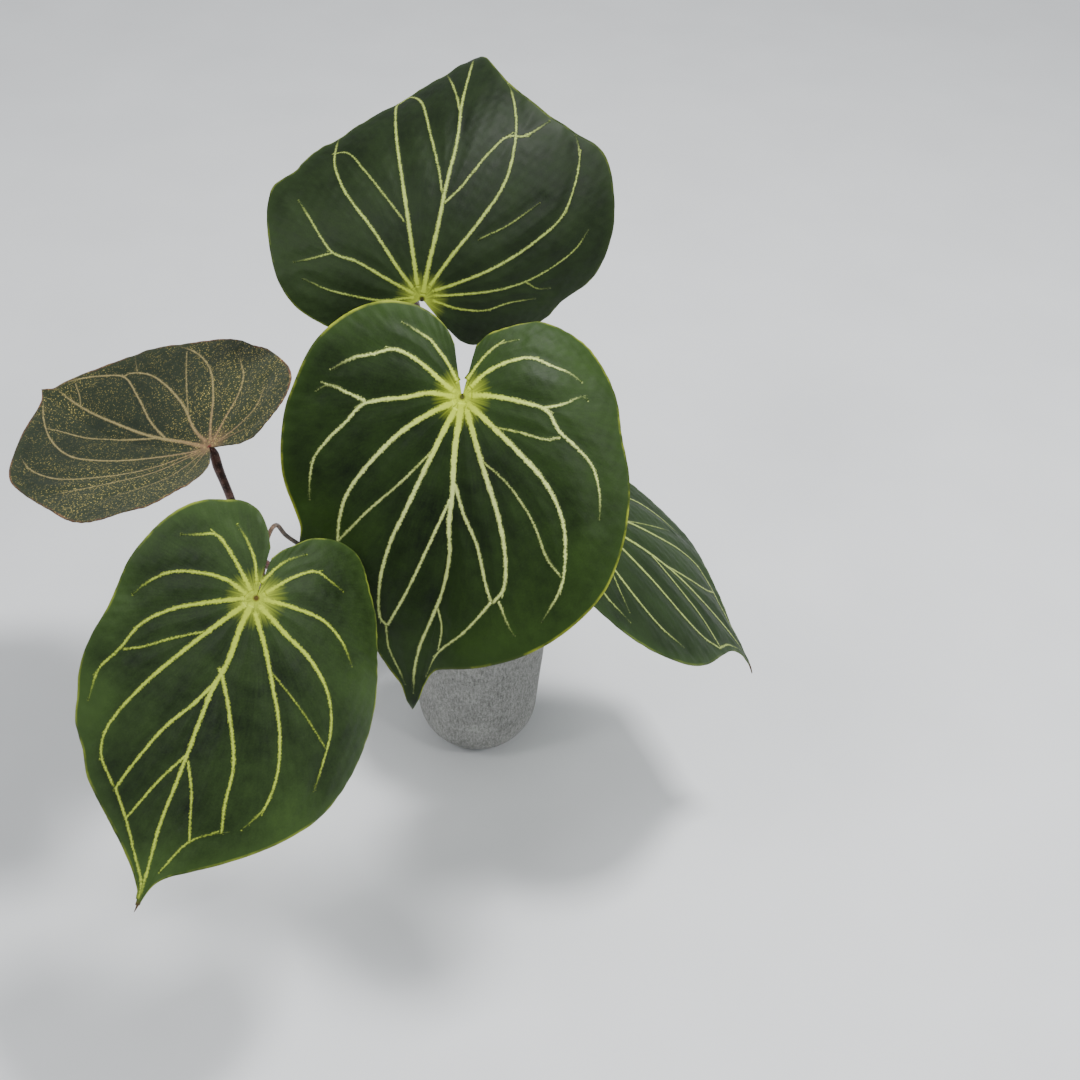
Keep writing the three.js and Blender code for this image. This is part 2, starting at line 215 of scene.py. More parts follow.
# height of the pot, reach and height of its rounded foot, top of its straight wall
pot_high, foot_wide, foot_high, wall_top = 0.145, 0.022, 0.030, 0.1435


def pot_wall(z):
    """outside radius of the pot's straight wall at a height"""
    return 0.0394 + 0.0081 * z / pot_high


foot = pot_wall(foot_high) - foot_wide
profile = [(foot, 0.0)]
for i in range(1, 19):
    a = i * math.pi / 36
    profile.append((foot + foot_wide * math.sin(a), foot_high * (1 - math.cos(a))))
profile += between((pot_wall(foot_high), foot_high), (pot_wall(wall_top), wall_top), 66)
profile += [(0.0472, 0.1446), (0.0463, 0.145), (0.0452, 0.1451), (0.0440, 0.145),
            (0.0434, 0.1446), (0.0432, 0.144)]
profile += between((0.0432, 0.144), (0.0339, 0.026), 14)
profile += [(0.0325, 0.020), (0.0315, 0.017), (0.0305, 0.014)]
outer_pot = turned("cement_pot", profile, 280)
# the casting's slight unevenness, about a quarter of a millimetre deep
for label, grain, depth in (("cast_waves", 0.012, 0.0005), ("cast_pits", 0.0024, 0.0003)):
    clouds = bpy.data.textures.new(label, "CLOUDS")
    clouds.noise_scale = grain
    uneven = outer_pot.modifiers.new(label, "DISPLACE")
    uneven.texture = clouds
    uneven.texture_coords = "LOCAL"
    uneven.strength = depth
    uneven.mid_level = 0.5
    outer_pot.vertex_groups.new(name=label).add(
        [v.index for v in outer_pot.data.vertices
         if v.co.z > 0.002 and math.hypot(v.co.x, v.co.y) > 0.92 * pot_wall(v.co.z) - 0.001
         or 0.0 < v.co.z < 0.03 and math.hypot(v.co.x, v.co.y) > 0.024],
        1.0, "REPLACE")
    uneven.vertex_group = label
    bpy.ops.object.modifier_apply(modifier=label)

# cement: matt, dusty, stippled with darker pores and paler lime bloom; its greys are set darker
# than the cement's own light grey, as painted shade of the leaves that hang over the pot
cement, tree = finish_named("cast_cement")
place = put(tree, "TexCoord").outputs["Object"]
drag = put(tree, "Mapping", {"Scale": (1.0, 1.0, 0.38), "Vector": place})
streaks = noise(tree, drag, 780.0, 3.0, 0.6)
grit = noise(tree, place, 1100.0, 3.0, 0.7)
bloom = noise(tree, place, 45.0, 4.0, 0.6)
pores = put(tree, "TexVoronoi", {"Scale": 620.0, "Vector": place})
# painted shade: these greys are darker than the real light grey cement
base = ramp(tree, bloom, (0.3, "#777874"), (0.52, "#8e8e8a"), (0.72, "#a9a9a4"))
stipple = put(tree, "Mix", {0: 0.5, 2: streaks, 3: grit}, data_type="FLOAT")
speckled = ramp(tree, stipple, (0.38, "#3c3d3b"), (0.47, "#868683"), (0.62, "#bebebb"))
pits = ramp(tree, pores, (0.08, "#4a4b49"), (0.24, "#ffffff"))
pitted = blend(tree, 0.45, blend(tree, 0.5, base, speckled), pits, "MULTIPLY")
finished(tree, pitted, 0.88, 0.25, Normal=bump(tree, stipple, 0.6, 0.0006))
outer_pot.data.materials.append(cement)
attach(outer_pot, "root")
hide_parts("outer_pot")

# Liner: a thin clear plastic nursery cup, thermoformed, with a rolled rim that
# rests just above the pot's mouth and drain holes punched in its floor.
def cup_wall(z):
    """outside radius of the cup at a height"""
    return 0.0300 + 0.0112 * (z - 0.0143) / 0.1313


profile = [(0.0270, 0.0143), (0.0280, 0.0143), (0.0293, 0.0150), (cup_wall(0.0168), 0.0168)]
profile += between((cup_wall(0.0168), 0.0168), (0.0412, 0.1450), 16)
for i in range(9):
    a = math.radians(-80 + i * 32)
    profile.append((0.04125 + 0.0011 * math.cos(a), 0.1467 + 0.0011 * math.sin(a)))
profile += between((0.0404, 0.1452), (cup_wall(0.0173) - 0.0008, 0.0173), 16)
profile += [(0.0286, 0.0158), (0.0276, 0.0151), (0.0268, 0.0151)]
liner = turned("liner_cup_clear", profile, 144)


def punched(piece, radius, depth, place, sides):
    """cuts a round upright hole into a piece"""
    bpy.ops.object.select_all(action="DESELECT")
    bpy.ops.mesh.primitive_cylinder_add(vertices=sides, radius=radius, depth=depth, location=place)
    punch = bpy.context.object
    bpy.context.view_layer.objects.active = piece
    hole = piece.modifiers.new("hole", "BOOLEAN")
    hole.operation = "DIFFERENCE"
    hole.object = punch
    bpy.ops.object.modifier_apply(modifier="hole")
    bpy.data.objects.remove(punch)


for i in range(6):
    a = i * math.pi / 3
    punched(liner, 0.0025, 0.006, (0.018 * math.cos(a), 0.018 * math.sin(a), 0.0147), 24)

# clear polypropylene: colourless, glossy, faintly cloudy in patches
plastic, tree = finish_named("clear_polypropylene")
haze = noise(tree, put(tree, "TexCoord").outputs["Object"], 60.0, 2.0)
finished(tree, "#eef2f4", ranged(tree, haze, 0.3, 0.7, 0.06, 0.2), 0.5, IOR=1.49,
         Transmission_Weight=0.86)
liner.data.materials.append(plastic)
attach(liner, "root")
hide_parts("liner_cup")


# Moss: a bed of damp sphagnum pressed into the cup and heaped at the crown,
# with loose strands lying over it and a few pieces of pine bark.
def moss_level(x, y):
    """height of the bed in metres at a place in millimetres"""
    heap = 4.5 * np.exp(-((np.hypot(x, y) / 20) ** 2))
    lumps = (1.3 * np.sin(0.31 * x + 0.8) * np.cos(0.27 * y - 0.4)
             + 0.9 * np.sin(0.55 * y + 0.2 * x) + 0.6 * np.cos(0.62 * x - 0.35 * y))
    return (133 + heap + lumps) / 1000


def girdle(low, high, count):
    """faces between two closed rings of points, given the first point of each"""
    return [(low + c, low + (c + 1) % count, high + (c + 1) % count, high + c)
            for c in range(count)]


def built(name, points, faces, smooth=True):
    """an object from points in metres and faces, smooth unless it is broken stuff"""
    mesh = bpy.data.meshes.new(name)
    mesh.from_pydata([tuple(map(float, p)) for p in points], [], faces)
    mesh.polygons.foreach_set("use_smooth", [smooth] * len(mesh.polygons))
    mesh.update()
    piece = bpy.data.objects.new(name, mesh)
    bpy.context.scene.collection.objects.link(piece)
    return piece


def colour_points(piece, label, values):
    """a colour for each point, as an attribute that the finish reads"""
    layer = piece.data.attributes.new(label, "FLOAT_COLOR", "POINT")
    layer.data.foreach_set("color", np.asarray(values, dtype=np.float32).ravel())


moss_edge = (cup_wall(0.133) - 0.00135) * 1000
points = [(0, 0, float(moss_level(0, 0)))]
around, rings = 150, 44
for k in range(1, rings + 1):
    r = moss_edge * k / rings
    for i in range(around):
        a = 2 * math.pi * i / around
        x, y = r * math.cos(a), r * math.sin(a)
        tuft = 0.9 * math.sin(1.9 * x + 1.1 * y) * math.sin(1.3 * y - 1.7 * x + 0.5)
        tuft += 0.5 * math.sin(3.7 * x + 0.7) * math.sin(3.1 * y)
        tuft *= min(1, (1 - k / rings) * 8)
        points.append((x / 1000, y / 1000, float(moss_level(x, y)) + (tuft - 1.0) / 1000))
bed_low = 0.0155
for drop, inset in ((0.5, 0), (0.0, 0), (0.0, 0.003)):
    z = bed_low + (0.133 - bed_low) * drop + (0.004 if inset == 0 and drop == 0 else 0)
    r = cup_wall(z) - 0.00165 - inset
    for i in range(around):
        a = 2 * math.pi * i / around
        points.append((r * math.cos(a), r * math.sin(a), z))
points.append((0, 0, bed_low))
faces = [(0, 1 + i, 1 + (i + 1) % around) for i in range(around)]
for k in range(rings + 2):
    for i in range(around):
        j = (i + 1) % around
        a, b = 1 + k * around, 1 + (k + 1) * around
        faces.append((a + i, b + i, b + j, a + j))
last = 1 + (rings + 2) * around
faces += [(last + i, len(points) - 1, last + (i + 1) % around) for i in range(around)]
moss_bed = built("moss_bed", points, faces)

draw = random.Random(11)
points, faces, tints = [], [], []


def strand(path, radius, tint):
    """a three sided thread along a path, with small leaflets at its joints"""
    first = len(points)
    for k, p in enumerate(path):
        ahead_of = Vector(path[min(k + 1, len(path) - 1)]) - Vector(path[max(k - 1, 0)])
        ahead_of.normalize()
        aside = ahead_of.cross(Vector((0.2, 0.1, 1))).normalized()
        upward = aside.cross(ahead_of)
        thin = radius * (0.35 if k in (0, len(path) - 1) else 1)
        for c in range(3):
            a = c * 2 * math.pi / 3
            points.append(Vector(p) + thin * (math.cos(a) * aside + math.sin(a) * upward))
            tints.append(tint)
    for k in range(len(path) - 1):
        faces.extend(girdle(first + 3 * k, first + 3 * k + 3, 3))
    faces.append((first + 2, first + 1, first))
    end = len(points)
    faces.append((end - 3, end - 2, end - 1))
    for k in range(1, len(path) - 1):
        along = Vector(path[k + 1]) - Vector(path[k - 1])
        along.normalize()
        for _ in range(2):
            out = Vector((draw.gauss(0, 1), draw.gauss(0, 1), draw.gauss(0.3, 0.7))).normalized()
            span = radius * draw.uniform(2.2, 4.0)
            root = Vector(path[k])
            side = along.cross(out).normalized() * span * 0.3
            start = len(points)
            points.extend([root, root + 0.5 * span * (out + along) + side,
                           root + span * (0.8 * out + 1.1 * along),
                           root + 0.5 * span * (out + along) - side])
            tints.extend([tint] * 4)
            faces.append((start, start + 1, start + 2, start + 3))


# strands are kept, in millimetres, inside the cup's wall and outside the crown
strand_count, chip_count, bed_rim, crown_gap = 1150, 34, 39.2, 10.6
for _ in range(strand_count):
    r = 39.5 * math.sqrt(draw.random())
    a = draw.uniform(0, 2 * math.pi)
    x, y = r * math.cos(a), r * math.sin(a)
    turn = draw.uniform(0, 2 * math.pi)
    stride = draw.uniform(1.3, 2.6)
    loft = draw.uniform(0, 2.4)
    path = []
    count = draw.randint(5, 9)
    for k in range(count):
        turn += draw.gauss(0, 0.45)
        x += stride * math.cos(turn)
        y += stride * math.sin(turn)
        if math.hypot(x, y) > bed_rim or math.hypot(x, y) < crown_gap:
            break
        lift = loft * math.sin(math.pi * k / (count - 1)) + draw.uniform(-0.4, 0.4)
        path.append((x / 1000, y / 1000, float(moss_level(x, y)) + (lift - 0.3) / 1000))
    if len(path) > 3:
        shade = draw.random()
        strand(path, draw.uniform(0.00022, 0.0005), (shade, draw.random(), 0, 1))
moss_strands = built("moss_strands", points, faces)
colour_points(moss_strands, "shade", tints)

points, faces = [], []
for _ in range(chip_count):
    r = 12 + 25 * math.sqrt(draw.random())
    a = draw.uniform(0, 2 * math.pi)
    x, y = r * math.cos(a), r * math.sin(a)
    size = Vector((draw.uniform(2.2, 5.0), draw.uniform(1.6, 3.2), draw.uniform(0.8, 1.8)))
    spin = Matrix.Rotation(draw.uniform(0, 6.28), 3, "Z") @ Matrix.Rotation(
        draw.gauss(0, 0.5), 3, "X") @ Matrix.Rotation(draw.gauss(0, 0.4), 3, "Y")
    centre = Vector((x, y, moss_level(x, y) * 1000 + 0.8))
    start = len(points)
    for level_of, grow in ((-1, 0.75), (-0.2, 1.0), (0.55, 0.92), (1, 0.6)):
        for c in range(7):
            b = c * 2 * math.pi / 7
            rough = grow * draw.uniform(0.8, 1.15)
            p = Vector((size.x * rough * math.cos(b), size.y * rough * math.sin(b),
                        size.z * (level_of + draw.uniform(-0.2, 0.2))))
            points.append((spin @ p + centre) / 1000)
    for k in range(3):
        faces += girdle(start + 7 * k, start + 7 * k + 7, 7)
    faces.append(tuple(start + 6 - c for c in range(7)))
    faces.append(tuple(start + 21 + c for c in range(7)))
bark = built("bark_chips", points, faces, smooth=False)

# dried sphagnum: straw gold to olive green, dull, darker where it is damp
moss_finish, tree = finish_named("sphagnum")
patch = noise(tree, put(tree, "TexCoord").outputs["Object"], 160.0, 4.0)
parts = put(tree, "SeparateColor", {"Color": put(tree, "Attribute", attribute_name="shade")})
summed = sums(tree, "ADD", patch, sums(tree, "MULTIPLY", parts, 0.6))
tone = ramp(tree, summed, (0.28, "#3a3118"), (0.5, "#6d6128"), (0.68, "#a38a48"),
            (0.86, "#d2bb80"), (1.0, "#e8dcb4"))
finished(tree, tone, 0.82, 0.3)

# pine bark: red brown with paler broken faces, rough all over
bark_finish = grained(
    "pine_bark", stretch=(1, 1, 1), scale=420.0, detail=6.0, fine=0.7, dull=0.85, gloss=0.3,
    relief=(0.7, 0.0005), stops=[(0.3, "#24160d"), (0.5, "#593722"), (0.7, "#9a7450")])
for piece in (moss_bed, moss_strands):
    piece.data.materials.append(moss_finish)
    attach(piece, "root")
bark.data.materials.append(bark_finish)
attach(bark, "root")
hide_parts("moss")


# Stalks: five round solid leaf stalks, purple brown with pale flecks, each a
# little swollen over its last centimetres, where it carries and turns its blade.
def drawn_curve(stations, count):
    """evenly spaced points on a centripetal curve through the stations"""
    p = np.array(stations, dtype=float)
    p = np.vstack([2 * p[0] - p[1], p, 2 * p[-1] - p[-2]])
    out = []
    for k in range(1, len(p) - 2):
        d0, d1, d2 = (max(np.linalg.norm(p[k + i] - p[k + i - 1]) ** 0.5, 1e-6) for i in (0, 1, 2))
        t1 = d1 * ((p[k] - p[k - 1]) / d0 - (p[k + 1] - p[k - 1]) / (d0 + d1) + (p[k + 1] - p[k]) / d1)
        t2 = d1 * ((p[k + 1] - p[k]) / d1 - (p[k + 2] - p[k]) / (d1 + d2) + (p[k + 2] - p[k + 1]) / d2)
        t = np.linspace(0, 1, 40, endpoint=k == len(p) - 3)[:, None]
        out.append((2 * t ** 3 - 3 * t ** 2 + 1) * p[k] + (t ** 3 - 2 * t ** 2 + t) * t1
                   + (3 * t ** 2 - 2 * t ** 3) * p[k + 1] + (t ** 3 - t ** 2) * t2)
    fine = np.vstack(out)
    length = np.concatenate([[0], np.cumsum(np.linalg.norm(np.diff(fine, axis=0), axis=1))])
    even = np.linspace(0, length[-1], count)
    return np.stack([np.interp(even, length, fine[:, c]) for c in range(fine.shape[1])], 1)


def tube(route, radii, sides):
    """points and faces of a round closed tube, turned along the route without twist"""
    made, shell = [], []
    aside = None
    for k, p in enumerate(route):
        along = Vector(route[min(k + 1, len(route) - 1)] - route[max(k - 1, 0)]).normalized()
        if aside is None:
            aside = along.orthogonal().normalized()
        aside = (aside - aside.dot(along) * along).normalized()
        other = along.cross(aside)
        for c in range(sides):
            a = c * 2 * math.pi / sides
            made.append(Vector(p) + float(radii[k]) * (math.cos(a) * aside + math.sin(a) * other))
    for k in range(len(route) - 1):
        shell += girdle(sides * k, sides * (k + 1), sides)
    shell.append(tuple(sides - 1 - c for c in range(sides)))
    shell.append(tuple(sides * (len(route) - 1) + c for c in range(sides)))
    return made, shell


# seats: where each blade meets its stalk, and the way its upper face looks there
seats = {
    "top": ((-42.4, 30, 330.4), (0.174, -0.924, 0.342)),
    "front": ((-9.3, -90, 350.2), (-0.129, -0.732, 0.669)),
    "low": ((-105.6, -180, 281.7), (0.117, -0.664, 0.738)),
    "side": ((-159.3, -40, 264.7), (-0.489, 0.075, 0.869)),
    "right": ((55.7, -20, 221.9), (0.474, 0.114, 0.873)),
}
# stalks: radius, place round the crown in degrees, and way points, in millimetres
stalks = {
    "top": (2.4, 75, [(1, 12, 168), (-3, 24, 205), (-22, 45, 250), (-43, 58, 288), (-49, 56, 312)]),
    "front": (2.4, 291, [(2.5, -9, 170), (1, -15, 215), (-1, -32, 275), (-4.5, -57, 318)]),
    "low": (1.3, 219, [(-7, -6, 165), (-25, -32, 203), (-60, -74, 235), (-90, -104, 249),
                       (-102, -112, 264), (-106, -118, 277), (-107, -140, 285),
                       (-105.6, -163, 281.5)]),
    "side": (2.7, 147, [(-9, 3, 159.5), (-30, -6, 163), (-70, -24, 164), (-108, -42, 168),
                        (-131, -52, 188), (-141, -54, 214), (-148, -50, 239), (-154, -45, 254)]),
    "right": (2.2, 3, [(9, -1, 158), (20, -7, 180), (39, -17, 202)]),
}

# stalk skin: satin, purple brown, greener towards the blade, with pale flecks
stalk_finish, tree = finish_named("stalk_skin")
place = put(tree, "TexCoord").outputs["Object"]
parts = put(tree, "SeparateColor", {"Color": put(tree, "Attribute", attribute_name="shade")})
mottle = noise(tree, place, 220.0, 4.0)
flecks = put(tree, "TexVoronoi", {"Scale": 750.0, "Vector": place})
tone = ramp(tree, mottle, (0.3, "#2c1917"), (0.5, "#4c302c"), (0.72, "#7c574f"))
young = ramp(tree, mottle, (0.3, "#3e3a20"), (0.7, "#6f6438"))
dots = ramp(tree, flecks, (0.16, "#b08d80"), (0.32, "#000000"))
dotted = blend(tree, 0.3, blend(tree, parts, tone, young), dots, "ADD")
finished(tree, dotted, 0.42, 0.45, Normal=bump(tree, mottle, 0.25, 0.0004))

# the stalks stand on a ring of this radius on the crown, in millimetres
stand, stalk_points = 5.8, 110
for name, (thick, angle, way) in stalks.items():
    seat, facing = (np.array(v, dtype=float) for v in seats[name])
    facing /= np.linalg.norm(facing)
    a = math.radians(angle)
    x, y = stand * math.cos(a), stand * math.sin(a)
    end = seat - 1.05 * facing
    stations = [(x, y, 142.35), (x, y, 153), *way, tuple(end - 4 * facing), tuple(end)]
    route = drawn_curve(stations, stalk_points) / 1000
    run = np.linspace(0, 1, stalk_points)
    length = np.linalg.norm(np.diff(route, axis=0), axis=1).sum() * 1000
    from_end = (1 - run) * length
    swell = 0.16 * np.exp(-((from_end - 9) / 8) ** 2) + 0.1 * np.exp(-(run * length - 12) ** 2 / 60)
    radii = thick / 1000 * (1.0 - 0.08 * run + np.where(run * length < 11, 0, swell))
    radii[-3:] *= (1.0, 0.96, 0.8)
    made, shell = tube(route, radii, 20)
    stalk = built("leaf_stalk_" + name, made, shell)
    flush = np.clip(1 - from_end / 45, 0, 1) * (0.0 if name == "side" else 0.35)
    flush += 0.35 if name == "low" else 0
    colour_points(stalk, "shade", np.repeat(np.stack([flush] * 4, 1), 20, axis=0))
    stalk.data.materials.append(stalk_finish)
    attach(stalk, "root")
    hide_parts("stalk_" + name)

# Crown: the short stem that the stalks spring from, ringed with the scars of
# old leaves, wrapped in dry papery sheaths, with thick roots down in the moss.
profile = [(0.0040, 0.1180), (0.0060, 0.1182), (0.0090, 0.1240)]
profile += between((0.0090, 0.1240), (0.0099, 0.1335), 5)
for i in range(1, 25):
    z = 0.1335 + 0.0140 * i / 24
    profile.append((0.00975 + 0.00022 * math.sin(i * 1.9), z))
profile += [(0.0094, 0.1484), (0.0086, 0.1494), (0.0078, 0.1500), (0.0060, 0.1502)]
crown = turned("crown_stem", profile, 64)
for name, (thick, angle, way) in stalks.items():
    a = math.radians(angle)
    socket_at = (0.0058 * math.cos(a), 0.0058 * math.sin(a), 0.152)
    punched(crown, (thick + 0.2) / 1000, 0.020, socket_at, 32)
# roots: radius and way points, in millimetres
roots = [
    (2.0, [(4, 3, 124), (13, 9, 112), (20, 12, 92), (22, 10, 66), (17, 5, 44)]),
    (1.7, [(-4, 3, 124), (-14, 8, 114), (-22, 13, 98), (-25, 12, 74)]),
    (1.9, [(-2, -5, 124), (-7, -16, 110), (-10, -23, 88), (-8, -25, 60), (-3, -20, 36)]),
    (1.6, [(5, -3, 124), (16, -10, 116), (25, -14, 100), (27, -14, 84)]),
]
points, faces = [], []
for thick, way in roots:
    route = drawn_curve(way, 40) / 1000
    radii = thick / 1000 * (1 + 0.06 * np.sin(np.arange(40) * 1.3))
    radii[-1] *= 0.4
    made, shell = tube(route, radii, 14)
    start = len(points)
    points += made
    faces += [tuple(start + c for c in f) for f in shell]
crown_roots = built("crown_roots", points, faces)

# sheaths: the stalk each one clasps, its height, how far it wraps and where it faces
sheaths = [("top", 24, 1.15, 0.4), ("front", 17, 1.3, 2.3), ("side", 21, 1.2, 3.6),
           ("right", 15, 1.3, 5.4)]
points, faces = [], []
for name, tall, wrap, turned_to in sheaths:
    thick, angle, way = stalks[name]
    a = math.radians(angle)
    foot_at = (stand * math.cos(a), stand * math.sin(a), 150.6)
    route = drawn_curve([foot_at, (foot_at[0], foot_at[1], 153), *way[:3]], 60)
    climbed = np.concatenate([[0], np.cumsum(np.linalg.norm(np.diff(route, axis=0), axis=1))])
    first, rows, lanes = len(points), 22, 13
    for skin_side in (0.0, 0.32):
        for i in range(rows):
            f = i / (rows - 1)
            middle = [np.interp(f * tall, climbed, route[:, c]) for c in range(3)]
            half_turn = wrap * math.pi / 2 * (1 - f ** 1.6) + 0.08
            flare = thick + 0.65 + 1.6 * f ** 2 + skin_side
            for j in range(lanes):
                side = 2 * j / (lanes - 1) - 1
                b = turned_to + side * half_turn
                curl = 0.35 * math.sin(5 * f + 7 * side + turned_to) * f
                points.append((Vector(middle) + (flare + curl) * Vector((math.cos(b), math.sin(b), 0))
                               + Vector((0, 0, -1.2 * side * side * f))) / 1000)
    inner, outer = first, first + rows * lanes
    for i in range(rows - 1):
        for j in range(lanes - 1):
            p = i * lanes + j
            faces.append((outer + p, outer + p + 1, outer + p + lanes + 1, outer + p + lanes))
            faces.append((inner + p, inner + p + lanes, inner + p + lanes + 1, inner + p + 1))
    ring = ([j for j in range(lanes)] + [lanes * i + lanes - 1 for i in range(1, rows)]
            + [lanes * (rows - 1) + j for j in range(lanes - 2, -1, -1)]
            + [lanes * i for i in range(rows - 2, 0, -1)])
    for p, q in zip(ring, ring[1:] + ring[:1]):
        faces.append((inner + p, inner + q, outer + q, outer + p))
crown_sheaths = built("crown_sheaths", points, faces)

# dry sheath: thin, papery, straw brown with darker fibres that run up it
sheath_finish = grained(
    "papery_sheath", stretch=(1, 1, 0.12), scale=1500.0, detail=4.0, fine=0.5, dull=0.62, gloss=0.35,
    relief=(0.5, 0.0004), stops=[(0.35, "#4f321c"), (0.5, "#8a6238"), (0.68, "#b8935c")])
crown_sheaths.data.materials.append(sheath_finish)
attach(crown_sheaths, "root")

# crown skin: reddish brown with green between the scars, dull and dry
crown_finish = grained(
    "crown_bark", stretch=(0.4, 0.4, 1.6), scale=420.0, detail=5.0, fine=0.5, dull=0.7, gloss=0.35,
    relief=(0.6, 0.0006), stops=[(0.3, "#4a2c20"), (0.48, "#7b4c33"), (0.6, "#6b6636"),
                                 (0.75, "#a08657")])
for piece in (crown, crown_roots):
    piece.data.materials.append(crown_finish)
    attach(piece, "root")
    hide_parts("crown")

# Blades: five heart shaped leaves, velvety dark green with pale veins that run
# from the stalk to the margin, puffed a little between the veins.

# Numbers are millimetres on the flat leaf: across, and along the midrib. The
# margin is listed from the tip as degrees and distance from the stalk, each vein
# as its width at the stalk, its width at its end and its way points, and each
# fresher patch as its place, its width and its strength; these patches are partly
# the leaf's own fresher green and partly painted light, paler where the blade
# catches sheen from the lamps. The midrib heads for heading; bends, arches and sway
# are curvatures per millimetre, tip is where the tip starts and its bend, fold is in
# radians and twist in radians per millimetre.
leaves = {}
leaves["top"] = dict(
    heading=(0.148, 0.368, 0.918), bend=0.0071, lobe_bend=0.0119, tip=(166, 0.035), arch=(0.0027, 0.0048),
    fold=-0.0994, twist=-0.003, sway=0.001,
    fresh_and_lit_patches=[(-85, -5, 45, 0.5), (85, -5, 40, 0.35), (-45, 60, 45, 0.2), (0, 0, 25, 0.25)],
    left=[(0, 188), (3, 173), (8, 163), (15, 155), (24, 144), (34, 135), (41, 132), (46, 127), (52, 120),
        (60, 119.5), (68, 111), (76, 102), (88, 91), (98, 84), (108, 75), (118, 62), (126, 52),
        (131, 40)],
    right=[(0, 188), (3, 170), (7, 153), (13, 141), (22, 134), (31, 135), (40, 141), (51, 135), (61, 127),
        (74, 112), (84, 92), (93, 85), (104, 72), (114, 59), (123, 53), (128, 47), (131, 38)],
    veins=[
        (2.8, 0.9, [(0, 3), (0, 20), (1, 44), (1, 68), (2, 97), (0, 124), (0, 150), (0, 176)]),
        (1.5, 0.5, [(-5, 0), (-24, -6), (-40, -7), (-54, -7), (-71, -4)]),
        (2.0, 0.8, [(-5, 2), (-24, 8), (-42, 14), (-56, 16), (-64, 23), (-75, 36), (-85, 48)]),
        (2.0, 0.9, [(-6, 5), (-16, 14), (-36, 35), (-58, 58), (-70, 80), (-74, 97), (-76, 112)]),
        (2.6, 1.1, [(-4, 7), (-13, 33), (-22, 59), (-34, 95), (-42, 125), (-45, 143), (-41, 150)]),
        (2.2, 0.8, [(3, 8), (12, 27), (24, 50), (34, 74), (36, 93), (34, 115), (29, 133), (25, 143)]),
        (2.0, 0.7, [(6, 6), (18, 12), (40, 26), (61, 46), (74, 65), (77, 85), (76, 102), (71, 114)]),
        (1.6, 0.5, [(7, 3), (22, 6), (47, 13), (64, 22), (78, 34), (89, 48), (94, 62)]),
        (1.4, 0.5, [(7, 0), (24, -3), (40, -2), (55, 5), (72, 10)]),
        (1.0, 0.6, [(-57, 16), (-68, 10), (-78, 5)]),
        (0.8, 0.9, [(-75, 92), (-66, 92), (-50, 75), (-36, 60), (-19, 43)]),
        (1.2, 1.0, [(-41, 150), (-36, 147), (-28, 136), (-15, 102), (-4, 74), (-1, 64)]),
        (1.1, 0.7, [(0, 118), (-5, 134), (-16, 163)]),
        (1.1, 0.9, [(2, 57), (9, 67), (22, 92), (31, 104), (40, 106), (54, 119)]),
        (0.8, 0.5, [(62, 20), (72, 17), (80, 19)]),
        (0.5, 0.5, [(26, 40), (42, 52), (58, 69)]),
    ])
